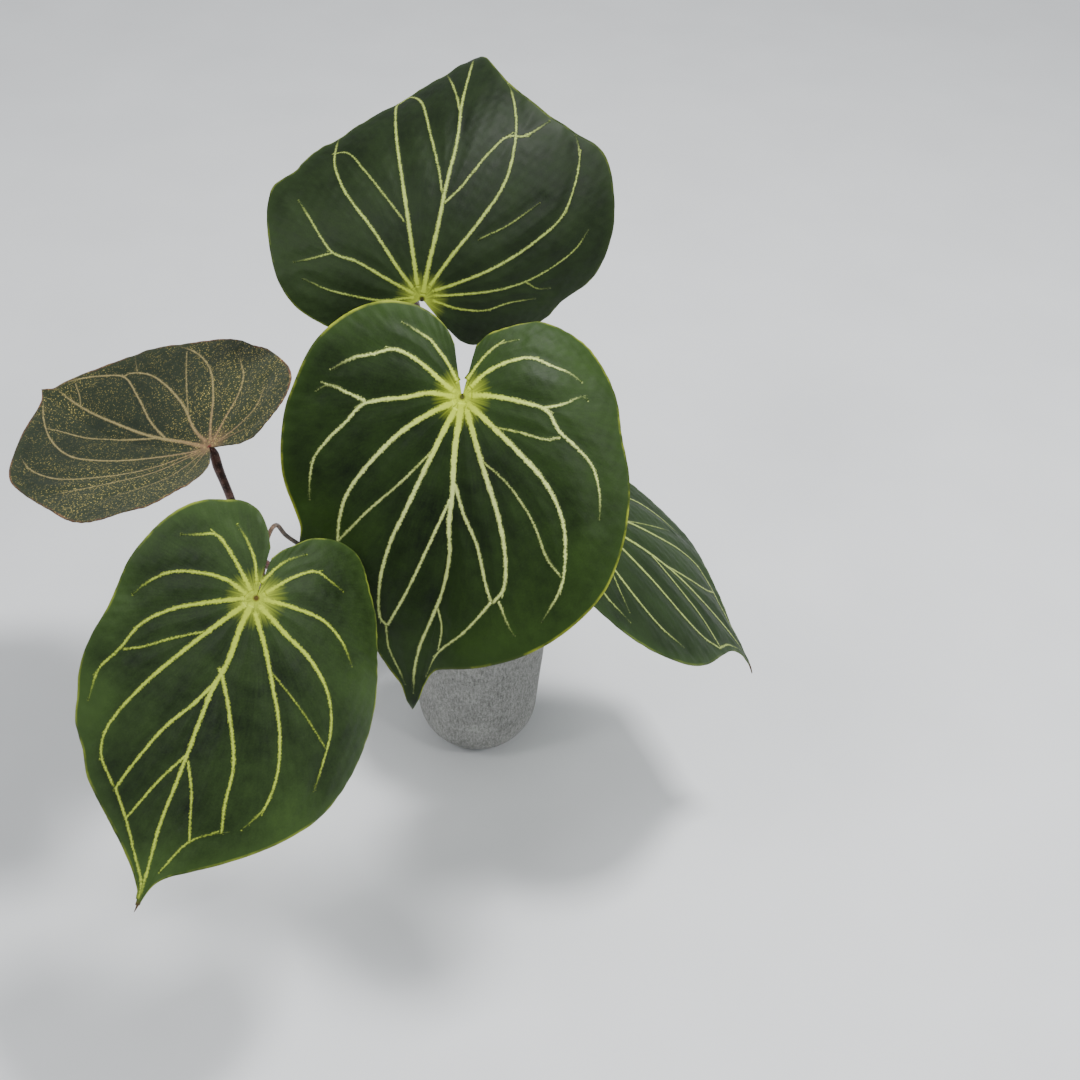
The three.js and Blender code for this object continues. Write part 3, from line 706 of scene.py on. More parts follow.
leaves["front"] = dict(
    heading=(0.013, -0.676, -0.737), bend=0.0037, lobe_bend=0.0105, tip=(170, 0.03), arch=(0.0103, 0.001),
    fold=0.1976, twist=0.003, sway=0.0017,
    fresh_and_lit_patches=[(42, -52, 34, 0.55), (85, 25, 25, 0.2), (-50, -45, 45, 0.6), (-90, 20, 40, 0.35),
        (0, 0, 26, 0.2), (25, 150, 22, 0.5), (-35, 130, 30, 0.65), (-75, 85, 25, 0.4), (72, 82, 26, 0.6)],
    left=[(0, 187), (0.5, 174), (0.9, 164), (1.5, 157), (3.2, 151), (6, 148), (13, 145), (24, 142),
        (33, 139), (42, 134), (50, 124), (58, 113), (68, 101), (80, 89), (92, 84), (107, 80), (119, 76),
        (130, 69), (141, 61), (147, 52), (153, 44), (162, 36), (169, 28)],
    right=[(0, 187), (1.8, 179), (4, 169), (7, 162), (9.7, 156), (13, 149), (19, 144), (27, 138),
        (36, 129), (43, 121), (48, 111), (54, 107), (62, 104), (70, 100), (83, 93), (91, 88), (105, 81),
        (120, 72), (131, 65), (141, 58), (149, 52), (157, 44), (163, 36), (167, 28)],
    veins=[
        (3.8, 1.1, [(0, 3), (1, 15), (2, 30), (1, 50), (1, 66), (-2, 86), (-1, 104), (3, 124), (6, 140),
            (6, 156), (3, 172)]),
        (1.8, 0.8, [(3, -8), (8, -16), (13, -22), (19, -28), (25, -31), (35, -35)]),
        (2.7, 0.8, [(5, -3), (12, -8), (20, -14), (29, -19), (38, -21), (47, -18), (58, -15), (69, -9)]),
        (2.8, 0.8, [(5, 0), (17, -1), (30, 2), (43, 4), (52, 7), (60, 16), (68, 24), (76, 35), (78, 46),
            (78, 58)]),
        (3.2, 1.3, [(4, 3), (14, 8), (31, 20), (49, 40), (58, 55), (61, 70), (61, 82)]),
        (3.2, 1.3, [(3, 6), (11, 24), (18, 42), (24, 58), (32, 81), (35, 105), (32, 126), (28, 130)]),
        (3.3, 1.5, [(-3, 7), (-10, 25), (-17, 41), (-27, 62), (-34, 82), (-36, 98), (-32, 105)]),
        (3.2, 0.9, [(-4, 4), (-13, 11), (-31, 26), (-48, 42), (-60, 61), (-65, 80), (-66, 95), (-62, 108),
            (-60, 113)]),
        (2.9, 0.7, [(-5, -1), (-15, -1), (-35, 2), (-45, 5), (-53, 16), (-63, 24), (-72, 33), (-78, 48),
            (-80, 61)]),
        (2.4, 0.9, [(-4, -5), (-12, -13), (-24, -20), (-35, -23), (-46, -20), (-57, -17), (-63, -13)]),
        (1.5, 0.5, [(-2, -9), (-9, -20), (-17, -29), (-27, -33)]),
        (1.8, 0.9, [(50, 5), (60, 1), (70, -2), (76, 1)]),
        (0.8, 1.2, [(13, 28), (28, 45), (46, 63), (61, 81)]),
        (1.5, 1.4, [(2, 54), (10, 78), (18, 104), (27, 130)]),
        (1.9, 1.3, [(0, 46), (-7, 61), (-17, 76), (-25, 94), (-31, 105)]),
        (1.2, 0.9, [(0, 115), (-5, 125), (-6, 139)]),
        (1.6, 0.8, [(-31, 105), (-20, 123), (-6, 141), (-2, 158)]),
        (1.2, 0.6, [(-35, 104), (-44, 117), (-48, 121)]),
        (0.5, 0.9, [(-11, 31), (-28, 43), (-44, 61), (-56, 81), (-64, 89)]),
        (1.6, 0.8, [(-43, 4), (-54, 1), (-64, -4), (-67, -2)]),
        (0.6, 1.0, [(-17, 15), (-31, 17), (-45, 20), (-53, 19)]),
        (1.2, 0.7, [(28, 130), (24, 145), (14, 160), (9, 168)]),
    ])
leaves["low"] = dict(
    heading=(-0.078, -0.747, -0.66), bend=0.0012, lobe_bend=0.0064, tip=(150, 0.004),
    arch=(0.0124, 0.0038), fold=-0.1, twist=0.0018, sway=0.0021,
    fresh_and_lit_patches=[(25, -55, 34, 0.5), (88, 10, 24, 0.9), (78, 70, 22, 0.9), (10, 158, 28, 0.9),
        (-30, -40, 35, 0.25), (-50, 112, 26, 0.55), (-75, 35, 30, 0.5), (0, 0, 24, 0.2)],
    left=[(-2.2, 167), (-2.1, 162), (-1.9, 156), (-1.3, 151), (0.5, 146), (4, 142), (11, 137), (21, 132),
        (32, 127), (43, 118), (52, 109), (60, 100), (67, 93), (77, 84), (88, 77), (100, 72), (117, 69),
        (126, 66), (136, 58), (143, 50), (149, 43), (155, 34), (162, 28), (169, 22)],
    right=[(2.2, 167), (2.7, 162), (3.7, 157), (6.2, 150), (11, 141.5), (17, 134.5), (24, 129), (32, 124),
        (38, 118), (47, 114), (53, 108), (61, 101), (69, 91), (78, 80), (88, 74), (100, 70), (121, 65),
        (135, 62), (145, 59), (154, 55), (163, 52), (172, 46), (179, 37), (186, 27)],
    veins=[
        (3.3, 1.2, [(2, 4), (5, 15), (8, 35), (12, 49), (14, 69), (15, 96), (15, 120), (12, 138),
            (9, 152), (6.7, 163)]),
        (1.6, 0.8, [(1, -8), (4, -19), (9, -28), (16, -37)]),
        (2.3, 0.9, [(3, -3), (11, -14), (19, -24), (26, -30), (35, -29), (44, -28)]),
        (2.4, 0.8, [(5, -1), (16, -7), (33, -9), (47, -7), (58, 0), (65, 7)]),
        (2.4, 0.9, [(6, 1), (25, 6), (43, 12), (58, 22), (67, 36), (77, 49), (79, 66)]),
        (3.0, 1.0, [(5, 4), (16, 15), (31, 31), (50, 54), (63, 78), (62, 92), (49, 107)]),
        (2.5, 0.9, [(-1, 8), (-9, 24), (-17, 42), (-26, 62), (-33, 86), (-33, 105), (-26, 117)]),
        (2.7, 0.9, [(-3, 4), (-17, 15), (-34, 27), (-49, 44), (-56, 62), (-57, 80), (-57, 95)]),
        (2.4, 0.9, [(-5, 0), (-22, 2), (-38, 6), (-51, 15), (-61, 27)]),
        (2.0, 0.8, [(-4, -3), (-17, -14), (-29, -20), (-38, -17), (-47, -13)]),
        (1.6, 0.6, [(-1, -8), (-11, -21), (-22, -28)]),
        (1.0, 0.8, [(21, 20), (38, 26), (54, 33), (65, 36)]),
        (2.0, 1.4, [(9, 41), (19, 57), (31, 72), (43, 97), (47, 109)]),
        (1.4, 1.0, [(47, 108), (33, 124), (20, 140), (11, 151), (7.6, 160)]),
        (1.4, 1.0, [(15, 84), (24, 98), (35, 123)]),
        (2.0, 1.1, [(11, 38), (6, 47), (-1, 62), (-10, 85), (-13, 105), (-17, 120)]),
        (1.2, 0.8, [(13, 87), (5, 103), (0, 117), (-4, 127)]),
        (1.0, 0.6, [(4, 144), (-3, 127), (-12, 121), (-20, 119)]),
        (0.5, 0.5, [(-15, 36), (-33, 51), (-56, 72)]),
    ])
leaves["side"] = dict(
    heading=(-0.796, 0.369, -0.48), bend=-0.002, lobe_bend=-0.0034, tip=(170, 0.01), arch=(0.0002, 0.002),
    fold=0.2302, twist=0.0002, sway=0.003,
    fresh_and_lit_patches=[(40, -35, 50, 0.8), (-30, -25, 45, 0.7), (70, 20, 40, 0.4), (-58, 50, 35, 0.5),
        (5, 150, 30, 0.3)],
    left=[(0, 177), (2, 169), (6, 162), (13, 155), (21, 147), (28, 141), (33, 135), (38, 124), (45, 111),
        (54, 101), (64, 96), (72, 93), (81, 89), (88, 85), (96, 80), (106, 79), (113, 76), (119, 72),
        (125, 73), (130, 66), (134, 53), (136, 40)],
    right=[(0, 177), (2, 169), (5, 164), (10, 156), (16, 147), (22, 140), (29, 134), (36, 127), (43, 121),
        (51, 114), (60, 107), (70, 97), (79, 87), (88, 81), (100, 73), (114, 68), (128, 66), (141, 65),
        (150, 62), (160, 57), (170, 49), (180, 40), (190, 33)],
    veins=[
        (2.9, 1.0, [(1, 5), (5, 24), (8, 60), (10, 95), (9, 130), (8, 166)]),
        (1.6, 1.0, [(8, 45), (18, 66), (33, 91), (43, 116), (36, 135), (26, 150), (13, 164)]),
        (2.2, 1.0, [(5, 6), (14, 21), (34, 46), (48, 75), (52, 95), (48, 112), (43, 117)]),
        (2.2, 0.9, [(5, 2), (17, 9), (42, 23), (66, 44), (79, 69), (81, 88)]),
        (2.0, 0.8, [(4, -1), (20, -1), (40, -1), (56, 5), (70, 17), (79, 25)]),
        (1.6, 0.7, [(3, -5), (14, -19), (25, -26), (37, -25), (47, -20)]),
        (1.0, 0.6, [(3, -6), (7, -18), (10, -33)]),
        (2.2, 0.9, [(-4, 7), (-11, 35), (-25, 76), (-31, 100), (-28, 125), (-18, 149), (-4, 169)]),
        (1.7, 0.8, [(-6, 6), (-24, 26), (-42, 61), (-54, 88), (-57, 112), (-53, 130)]),
        (1.7, 0.8, [(-8, 3), (-28, 17), (-44, 42), (-58, 62), (-69, 75)]),
        (1.2, 0.7, [(-7, -1), (-22, -4), (-38, -2), (-50, 12), (-63, 30)]),
        (1.0, 0.6, [(-6, -3), (-20, -10), (-34, -16), (-44, -16)]),
        (1.5, 0.9, [(8, 49), (-1, 87), (-10, 108), (-17, 131), (-21, 140)]),
        (1.0, 0.8, [(26, 35), (42, 48), (59, 62), (78, 77)]),
        (0.9, 0.5, [(51, 108), (62, 121)]),
        (1.1, 0.7, [(8, 134), (15, 143), (20, 153)]),
    ])
leaves["right"] = dict(
    heading=(0.878, -0.131, -0.46), bend=0.0026, lobe_bend=0.005, tip=(140, 0.015), arch=(0.0022, 0.0022),
    fold=0.0, twist=0.0, sway=0.0,
    fresh_and_lit_patches=[(-40, 70, 45, 0.3), (0, 0, 30, 0.25)],
    left=[(0, 168), (2, 147), (5, 138), (11, 132), (18, 126), (25, 122), (32, 121), (38, 120), (46, 111),
        (57, 98), (69, 88), (85, 80), (103, 77), (114, 75), (126, 70), (138, 61), (148, 49), (158, 38),
        (167, 27)],
    right=[(0, 168), (2, 149), (6, 138), (13, 131), (24, 126), (34, 120), (46, 109), (57, 98), (66, 89),
        (74, 82), (88, 79), (102, 78), (114, 76), (127, 69), (139, 60), (149, 48), (159, 36), (167, 26)],
    veins=[
        (3.2, 1.0, [(0, 4), (0, 20), (-1, 34), (-4, 52), (-6, 80), (-4, 108), (-2, 132), (0, 152)]),
        (3.0, 1.0, [(-3, 6), (-12, 20), (-21, 37), (-34, 67), (-41, 84), (-43, 100), (-36, 112)]),
        (2.4, 0.9, [(-4, 2), (-22, 12), (-44, 27), (-60, 46), (-66, 68), (-65, 88)]),
        (2.2, 0.8, [(-5, -1), (-24, -3), (-44, 0), (-60, 10), (-70, 26)]),
        (1.9, 0.7, [(-3, -5), (-16, -20), (-32, -28), (-48, -24), (-58, -14)]),
        (1.4, 0.6, [(-1, -8), (-7, -22), (-16, -36)]),
        (2.8, 1.0, [(2, 6), (8, 26), (15, 45), (22, 66), (29, 88), (31, 108), (26, 124)]),
        (2.7, 0.9, [(4, 5), (18, 16), (34, 30), (48, 52), (56, 74), (56, 94)]),
        (2.3, 0.8, [(5, 0), (26, 4), (48, 14), (64, 32), (71, 52)]),
        (1.9, 0.7, [(4, -4), (18, -14), (38, -18), (56, -10), (68, 4)]),
        (1.4, 0.6, [(1, -8), (9, -22), (22, -34), (36, -38)]),
        (1.4, 1.0, [(-5, 70), (-14, 92), (-22, 110), (-29, 118)]),
        (1.4, 1.0, [(-4, 60), (6, 84), (14, 106), (24, 124)]),
        (1.3, 0.7, [(-36, 112), (-22, 125), (-5, 142)]),
        (1.2, 0.7, [(26, 124), (14, 132), (3, 146)]),
        (0.8, 0.6, [(-20, 36), (-38, 56), (-56, 76)]),
        (0.8, 0.6, [(30, 27), (46, 36), (64, 50)]),
    ])


def surface(name):
    """flat leaf (across, along) in millimetres to its curved place, and its upward normal"""
    leaf = leaves[name]
    seat, facing = (np.array(v, dtype=float) for v in seats[name])
    facing = facing / np.linalg.norm(facing)
    heading = np.array(leaf["heading"], dtype=float)
    heading -= heading.dot(facing) * facing
    heading /= np.linalg.norm(heading)
    across = np.cross(heading, facing)
    tip_start, tip_bend = leaf["tip"]

    def sweep(length, bend):
        return np.sin(bend * length) / bend, (1 - np.cos(bend * length)) / bend

    def spot(u, v):
        before = np.minimum(v, 0)
        middle = np.clip(v, 0, tip_start)
        after = np.maximum(v - tip_start, 0)
        y0, z0 = sweep(before, leaf["lobe_bend"])
        y1, z1 = sweep(middle, leaf["bend"])
        y2, z2 = sweep(after, tip_bend)
        turn = leaf["bend"] * middle
        along = y0 + y1 + np.cos(turn) * y2 - np.sin(turn) * z2
        down = z0 + z1 + np.sin(turn) * y2 + np.cos(turn) * z2
        slope = leaf["lobe_bend"] * before + turn + tip_bend * after
        rise_way = np.cos(slope)[:, None] * facing + np.sin(slope)[:, None] * heading
        side = np.where(u < 0, -1.0, 1.0)
        arch = np.where(u < 0, leaf["arch"][0], leaf["arch"][1])
        lift = leaf["fold"] - side * leaf["twist"] * v
        reach = (np.sin(lift) - np.sin(lift - arch * np.abs(u))) / arch
        rise = (np.cos(lift - arch * np.abs(u)) - np.cos(lift)) / arch
        shift = leaf["sway"] * np.maximum(v, 0) ** 2 / 2 + side * reach
        return (seat + along[:, None] * heading - down[:, None] * facing
                + shift[:, None] * across + rise[:, None] * rise_way)

    def up(u, v):
        e = 0.4
        n = np.cross(spot(u + e, v) - spot(u - e, v), spot(u, v + e) - spot(u, v - e))
        return n / np.linalg.norm(n, axis=1, keepdims=True)

    return spot, up


def off_veins(leaf, flat):
    """distance in millimetres from each flat point to the nearest vein's edge"""
    a, b, half = [], [], []
    for w0, w1, way in leaf["veins"]:
        run = drawn_curve(way, max(4, int(len(way) * 3)))
        a.append(run[:-1])
        b.append(run[1:])
        half.append((w0 + (w1 - w0) * np.linspace(0, 1, len(run) - 1) ** 0.65) / 2)
    a, b, half = np.vstack(a), np.vstack(b), np.concatenate(half)
    ab = b - a
    long2 = np.maximum((ab ** 2).sum(1), 1e-9)
    near = np.empty(len(flat))
    for i in range(0, len(flat), 4000):
        d = flat[i:i + 4000, None, :] - a[None]
        t = np.clip((d * ab).sum(2) / long2, 0, 1)
        near[i:i + 4000] = (np.hypot(d[..., 0] - t * ab[:, 0], d[..., 1] - t * ab[:, 1]) - half).min(1)
    return near


def puff(flat, near, rim):
    """height of the quilted blade over its plain surface, in millimetres"""
    u, v = flat[:, 0], flat[:, 1]
    quilt = 0.85 * (1 - np.exp(-(np.maximum(near - 0.8, 0) / 5.0) ** 2))
    ripple = 0.10 * np.sin(0.55 * u + 0.31 * v) * np.sin(0.47 * v - 0.36 * u + 1.0)
    ripple += 0.05 * np.sin(1.1 * u + 0.4) * np.sin(0.9 * v + 0.7)
    ripple *= 1 - np.exp(-(np.maximum(near, 0) / 2.5) ** 2)
    around = np.arctan2(u, v)
    wave = 0.35 * np.sin(around * 11 + 0.7) + 0.10 * np.sin(around * 63 + 2 * np.sin(around * 9))
    return quilt + ripple + wave * np.exp(-(rim / 14) ** 2)


def margin_of(leaf):
    """both sides of the margin as smooth flat curves from the tip, every 1.15 mm or so"""
    sides = []
    for sign, listed in ((-1, leaf["left"]), (1, leaf["right"])):
        corner = [(sign * r * math.sin(math.radians(d)), r * math.cos(math.radians(d)))
                  for d, r in listed]
        length = sum(math.dist(p, q) for p, q in zip(corner, corner[1:]))
        sides.append(drawn_curve(corner, 8 * round(length / 1.15 / 8) + 1))
    return np.vstack([sides[0][::-1], sides[1][1:]])


def fan(margin, steps):
    """flat points and faces of the blade: rings of points, fewer towards the stalk"""
    flat, faces, rows = [(0.0, 0.0)], [], []
    n = len(margin) - 1
    for f in steps:
        skip = 1 if f > 0.5 else 2 if f > 0.25 else 4 if f > 0.125 else 8
        rows.append((len(flat), skip))
        flat.extend(map(tuple, margin[::skip] * f))
    first, skip = rows[0]
    faces += [(0, first + i + 1, first + i) for i in range(n // skip)]
    for (a, few), (b, many) in zip(rows, rows[1:]):
        for i in range(n // few):
            if few == many:
                faces.append((a + i, a + i + 1, b + i + 1, b + i))
            else:
                faces.append((a + i, a + i + 1, b + 2 * i + 1))
                faces.append((a + i, b + 2 * i + 1, b + 2 * i))
                faces.append((a + i + 1, b + 2 * i + 2, b + 2 * i + 1))
    edges = [[0] + [r for r, _ in rows], [0] + [r + n // s for r, s in rows]]
    rim = [rows[-1][0] + i for i in range(n // rows[-1][1] + 1)]
    return np.array(flat), faces, edges, rim


def stitched(a, fa, b, fb):
    """triangles between two runs of points that lie side by side"""
    made, i, j = [], 0, 0
    while i < len(a) - 1 or j < len(b) - 1:
        if j == len(b) - 1 or i < len(a) - 1 and fa[i + 1] <= fb[j + 1]:
            made.append((a[i], a[i + 1], b[j]))
            i += 1
        else:
            made.append((a[i], b[j + 1], b[j]))
            j += 1
    return made


def spurs(way):
    """short side veins that run straight on where a vein turns sharply"""
    found = []
    for p, q, r in zip(way[1:], way[2:], way[3:]):
        come, go = Vector(q) - Vector(p), Vector(r) - Vector(q)
        if come.angle(go) > math.radians(19):
            tip = Vector(q) + come.normalized() * 4.2
            found.append((1.0, 0.3, [q, tuple((Vector(q) + tip) / 2), tuple(tip)]))
    return found


# What the point colours can hold, in millimetres: how far from a vein's edge or
# the rim, and how far inside a vein.
tint_reach, tint_inset = 16.0, 2.0


def grown_blade(name):
    """one closed blade, its veins laid on it, and what the finish reads at each point"""
    leaf = leaves[name]
    spot, up = surface(name)
    margin = margin_of(leaf)
    upper_rings, under_rings, blade_thick, rim_keep = 104, 26, 0.7, 2.0
    upper_steps = [k / upper_rings for k in range(1, upper_rings + 1)]
    under_steps = [k / under_rings for k in range(1, under_rings)] + [1.0]
    upper, upper_faces, upper_edges, upper_rim = fan(margin, upper_steps)
    under, under_faces, under_edges, under_rim = fan(margin, under_steps)
    angle = np.arctan2(margin[:, 0], margin[:, 1])
    distance = np.hypot(margin[:, 0], margin[:, 1])
    order = np.argsort(angle)

    def rim_gap(flat):
        at = np.arctan2(flat[:, 0], flat[:, 1])
        return np.maximum(np.interp(at, angle[order], distance[order]) - np.hypot(*flat.T), 0)

    # the listed patches: partly fresher leaf colour, partly painted light where sheen pales the blade
    def green(flat):
        total = 0
        for u, v, wide, strength in leaf["fresh_and_lit_patches"]:
            total = total + strength * np.exp(-(np.hypot(flat[:, 0] - u, flat[:, 1] - v) / wide) ** 2)
        return np.clip(total, 0, 1)

    def tint(flat, off_edge, strength=1.0):
        """red: way off the vein's edge, green: vein strength, blue: way to the rim, alpha: fresher
        patches, partly painted light
        """
        ones = np.ones(len(flat))
        return np.stack([np.clip((off_edge + tint_inset) / tint_reach, 0, 1), strength * ones,
                         np.clip(rim_gap(flat) / tint_reach, 0, 1), green(flat)], 1)

    all_points, all_tints, all_flat = [], [], []
    for flat, below in ((upper, 0.0), (under, blade_thick)):
        near = off_veins(leaf, flat)
        height = puff(flat, near, rim_gap(flat)) - below
        all_points.append(spot(*flat.T) + height[:, None] * up(*flat.T))
        all_tints.append(tint(flat, near))
        all_flat.append(flat)
    lower = len(upper)
    faces = list(upper_faces) + [tuple(lower + c for c in reversed(f)) for f in under_faces]
    for side in (0, 1):
        walls = stitched(upper_edges[side], [0] + upper_steps,
                         [lower + c for c in under_edges[side]], [0] + under_steps)
        faces += walls if side == 0 else [tuple(reversed(w)) for w in walls]
    share = np.linspace(0, 1, len(upper_rim))
    faces += stitched(upper_rim, share, [lower + c for c in under_rim],
                      np.linspace(0, 1, len(under_rim)))
    count = lower + len(under)
    is_under = [np.zeros(lower), np.ones(len(under))]
    # veins: a low ridge on top, a rounder one below, sunk into the blade at its edges
    grown = leaf["veins"] + [s for _, _, way in leaf["veins"] for s in spurs(way)]
    for k, (w0, w1, way) in enumerate(grown):
        length = sum(math.dist(p, q) for p, q in zip(way, way[1:]))
        stations = max(6, int(length / 1.1))
        run = drawn_curve(way, stations)
        run *= np.minimum(1, 1 - (rim_keep - rim_gap(run)) / np.hypot(*run.T))[:, None]
        along = np.gradient(run, axis=0)
        along /= np.linalg.norm(along, axis=1, keepdims=True)
        left = np.stack([-along[:, 1], along[:, 0]], 1)
        t = np.linspace(0, 1, stations)
        half = 0.5 * (w0 + (w1 - w0) * t ** 0.65)
        half *= 1 + 0.10 * np.sin(t * length * 0.8 + w0 * 9) + 0.06 * np.sin(t * length * 2.1)
        fading = t * 0 + min(1, 0.5 + 0.4 * w0)
        others = dict(veins=grown[:k] + grown[k + 1:])
        if off_veins(others, run[-1:])[0] > 2.5:
            half *= np.clip((1 - t) * length / 8, 0.2, 1)
            fading *= np.clip((1 - t) * length / 16, 0.3, 1)
        if math.hypot(*way[0]) > 12 and off_veins(others, run[:1])[0] > 2.5:
            half *= np.clip(t * length / 5, 0.35, 1)
        proud = np.clip((np.hypot(*run.T) - 5) / 9, 0.12, 1)
        for lower_side in (False, True):
            if lower_side and w0 < 1.1:
                continue
            rows = []
            for edge, wider, h in ((-1, 1.1, -0.05), (-1, 0.6, 0.02), (-1, 0.0, 0.05), (-0.5, 0, 0.07),
                                   (0, 0, 0.08), (0.5, 0, 0.07), (1, 0.0, 0.05), (1, 0.6, 0.02),
                                   (1, 1.1, -0.05)):
                aside = edge * half + math.copysign(wider, edge)
                flat = run + aside[:, None] * left
                off_edge = np.abs(aside) - half
                height = puff(flat, off_edge, rim_gap(flat))
                if lower_side:
                    rib = np.where(h < 0, -0.12, 4.0 * h * np.minimum(half, 1.4))
                    height += -blade_thick - rib
                else:
                    height += h * proud if h > 0 else h
                rows.append(spot(*flat.T) + height[:, None] * up(*flat.T))
                all_tints.append(tint(flat, off_edge, fading))
                all_flat.append(flat)
            sunk = puff(run, -half, rim_gap(run)) + (-0.45 if lower_side else -0.3)
            rows.append(spot(*run.T) + sunk[:, None] * up(*run.T))
            all_tints.append(tint(run, half * 0 + 3))
            all_flat.append(run)
            all_points.extend(rows)
            lane = [count + k * stations for k in range(len(rows))]
            closed = lane + [lane[0]]
            for p, q in zip(closed, closed[1:]):
                for i in range(stations - 1):
                    f = (p + i, q + i, q + i + 1, p + i + 1)
                    faces.append(f if not lower_side else tuple(reversed(f)))
            caps = [tuple(reversed(lane)), tuple(k + stations - 1 for k in lane)]
            faces += caps if not lower_side else [tuple(reversed(c)) for c in caps]
            is_under.append(np.full(len(rows) * stations, float(lower_side)))
            count += len(rows) * stations
    flat = np.vstack(all_flat)
    piece = built("leaf_blade_" + name, np.vstack(all_points) / 1000, faces)
    colour_points(piece, "shade", np.vstack(all_tints))
    below = piece.data.attributes.new("underside", "FLOAT", "POINT")
    below.data.foreach_set("value", np.concatenate(is_under).astype(np.float32))
    corner = np.empty(len(piece.data.loops), dtype=np.int64)
    piece.data.loops.foreach_get("vertex_index", corner)
    layer = piece.data.uv_layers.new(name="flat_leaf")
    layer.data.foreach_set("uv", (flat[corner] / 100 + 1.0).astype(np.float32).ravel())
    return piece


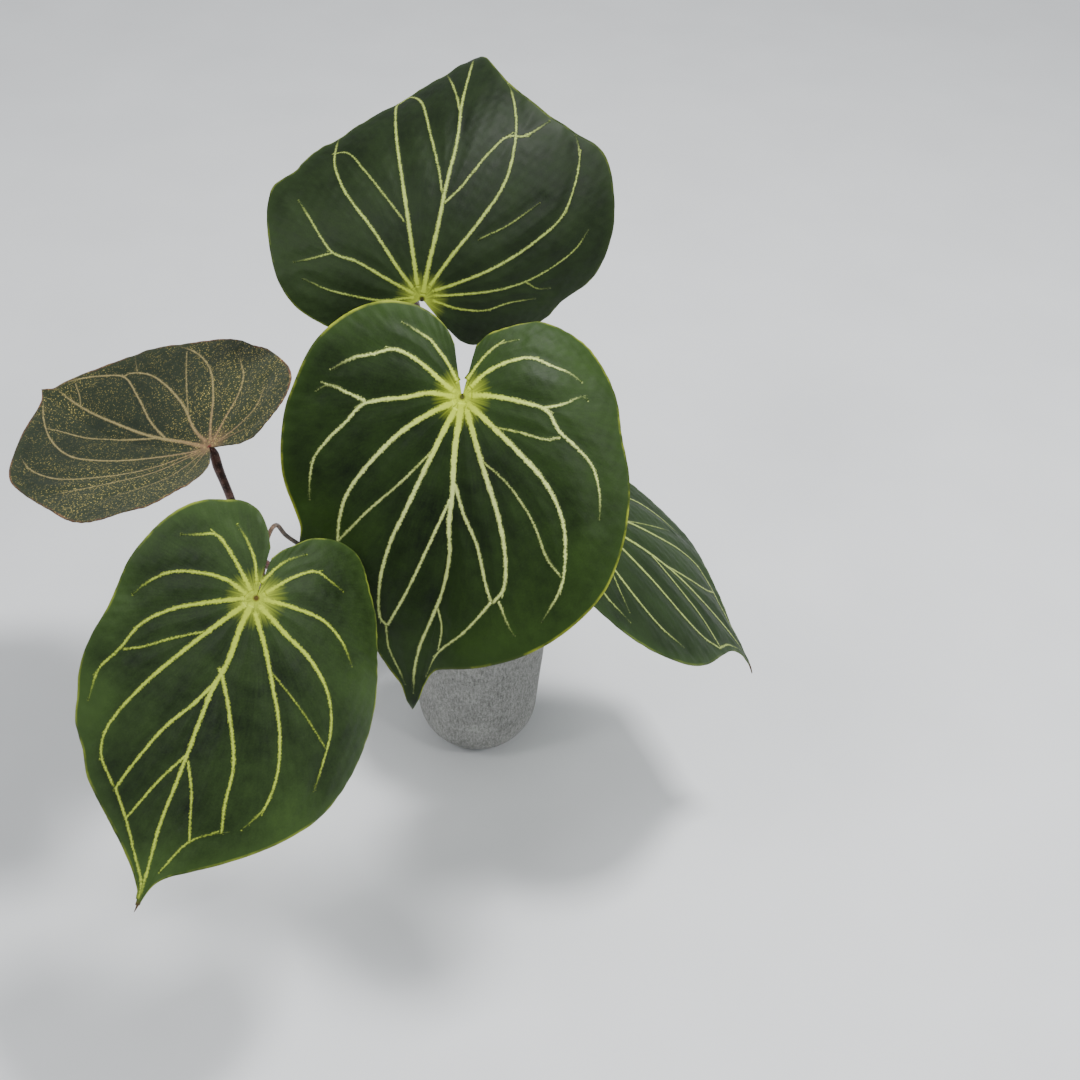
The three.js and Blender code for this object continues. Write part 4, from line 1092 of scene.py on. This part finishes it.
def velvet(name, deep, fresh, margin, vein, star, back, eye, dust, dry_from):
    """leaf skin: a soft sheen on deep green, pale feathered veins, a star at the stalk.
    One unit of the leaf's own flat map is 100 millimetres."""
    material, tree = finish_named(name)
    flat = put(tree, "UVMap", uv_map="flat_leaf")
    shade = put(tree, "Attribute", attribute_name="shade")
    underside = put(tree, "Attribute", attribute_name="underside").outputs["Fac"]
    part = put(tree, "SeparateColor", {"Color": shade})
    to_rim = part.outputs["Blue"]
    # where the point is: millimetres off the vein's edge, and from the stalk
    off_edge = sums(tree, "MULTIPLY_ADD", part, tint_reach, -tint_inset)
    centred = put(tree, "VectorMath", {0: flat, 1: (-1, -1, 0)}, operation="ADD")
    from_stalk = put(tree, "VectorMath", {0: centred}, operation="LENGTH").outputs["Value"]
    across = put(tree, "SeparateXYZ", {"Vector": centred})
    turn = sums(tree, "ARCTAN2", across, across.outputs["Y"])
    ray = put(tree, "CombineXYZ", {"X": turn, "Y": from_stalk})
    # broad clouds, fine grain, and streaks that run out from the stalk
    cloud = noise(tree, flat, 4.0, 5.0, 0.6)
    grain = noise(tree, flat, 95.0, 3.0, 0.65)
    long_ray = put(tree, "Mapping", {"Scale": (40.0, 9.0, 1.0), "Vector": ray})
    fibre = noise(tree, long_ray, 1.0, 3.0)
    star_ray = put(tree, "Mapping", {"Scale": (16.0, 5.0, 1.0), "Vector": ray})
    streak = noise(tree, star_ray, 1.0, 2.0)
    # the green ground, fresher along the rim and in the listed patches; the patches are partly
    # the leaf's own fresher green and partly painted light, paler where the blade catches sheen
    hue = sums(tree, "MULTIPLY_ADD", cloud, 1.2, -0.74)
    hue = sums(tree, "MULTIPLY_ADD", fibre, 0.35, hue)
    hue = sums(tree, "MULTIPLY_ADD", grain, 0.5, hue)
    hue = sums(tree, "ADD", hue, shade.outputs["Alpha"])
    hue.use_clamp = True
    ground = blend(tree, hue, deep, fresh)
    ground = blend(tree, ranged(tree, to_rim, 0.0, 0.6, 0.55, 0.0, "SMOOTHSTEP"), ground, fresh)
    patchy = ranged(tree, cloud, 0.45, 0.6, 0.08)
    rim_line = sums(tree, "MULTIPLY", ranged(tree, to_rim, 0.02, 0.11, 0.85, 0.0), patchy)
    ground = blend(tree, rim_line, ground, margin)
    # the star where the veins meet
    star_fade = sums(tree, "POWER", ranged(tree, from_stalk, 0.01, 0.24, 1.3, 0.0), 1.7)
    ragged_star = sums(tree, "MULTIPLY", star_fade, streak)
    ground = blend(tree, ranged(tree, ragged_star, 0.12, 0.8, 0.0, 0.9), ground, star)
    # veins: yellow green at the stalk, paler outwards, with feathered edges
    pale = blend(tree, ranged(tree, from_stalk, 0.05, 0.5), star, vein)
    rough = sums(tree, "MULTIPLY_ADD", grain, 2.6, -1.3)
    rough = sums(tree, "MULTIPLY_ADD", fibre, 0.9, rough)
    worn = sums(tree, "ADD", off_edge, rough)
    core = ranged(tree, worn, -0.25, 0.95, 1.0, 0.0, "SMOOTHSTEP")
    core = sums(tree, "MULTIPLY", core, part.outputs["Green"])
    veined = blend(tree, core, ground, pale)
    # gold dust, on the leaf that has it, and the dark eye over the stalk
    cells = put(tree, "TexVoronoi", {"Scale": 75.0, "Vector": flat})
    dots = ranged(tree, cells, 0.18, 0.38, dust, 0.0)
    dotting = sums(tree, "MULTIPLY", dots, ranged(tree, hue, 0.15, 0.7, 0.05))
    dotting = sums(tree, "MULTIPLY", dotting, cells.outputs["Color"])
    dusted = blend(tree, dotting, veined, "#e2cc74")
    eyed = blend(tree, ranged(tree, from_stalk, 0.010, 0.022, 0.9, 0.0), dusted, eye)
    # the paler underside, with its veins a little lighter
    under = blend(tree, sums(tree, "MULTIPLY", core, 0.6), back, star)
    whole = blend(tree, underside, eyed, under)
    # the dried end of the drip tip, on both faces
    dry = ranged(tree, across.outputs["Y"], dry_from, dry_from + 0.03, 0.0, 0.9)
    whole = blend(tree, dry, whole, "#4a3020")
    height = put(tree, "Mix", {0: 0.5, 2: fibre, 3: grain}, data_type="FLOAT")
    dull = ranged(tree, cloud, 0.3, 0.7, 0.46, 0.60)
    finished(tree, whole, dull, 0.18, Normal=bump(tree, height, 0.2, 0.0006), IOR=1.45,
             Sheen_Weight=0.03, Sheen_Roughness=0.4, Sheen_Tint="#c8d8b8")
    return material


# deep green, fresh green, rim, vein, star, underside, eye, gold dust, and where on
# the midrib the dry tip starts
finishes = {
    "top": velvet("velvet_leaf_dark", "#0f180a", "#263618", "#6f7c2f", "#a2b25a", "#9dad36",
                  "#4d6030", "#1c130c", 0.0, 1.86),
    "front": velvet("velvet_leaf_bright", "#081204", "#2a4014", "#a0aa30", "#c2d07a", "#b6c828",
                    "#4f6a2c", "#2a2410", 0.0, 1.85),
    "low": velvet("velvet_leaf_olive", "#0c1608", "#33481f", "#8c9a34", "#a9ba42", "#a8b832",
                  "#54683a", "#3a1510", 0.0, 1.60),
    "side": velvet("velvet_leaf_bronze", "#1e261c", "#333a28", "#744a3a", "#8d8056", "#8a6e50",
                   "#5b4a38", "#5a1420", 0.8, 1.75),
    "right": velvet("velvet_leaf_shaded", "#182411", "#2c3f1e", "#5f6f2c", "#9cab5c", "#98a53e",
                    "#4a5c34", "#2a2014", 0.0, 1.58),
}
for name in leaves:
    blade = grown_blade(name)
    blade.data.materials.append(finishes[name])
    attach(blade, "root")
    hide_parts("leaf_" + name)

bpy.context.view_layer.update()
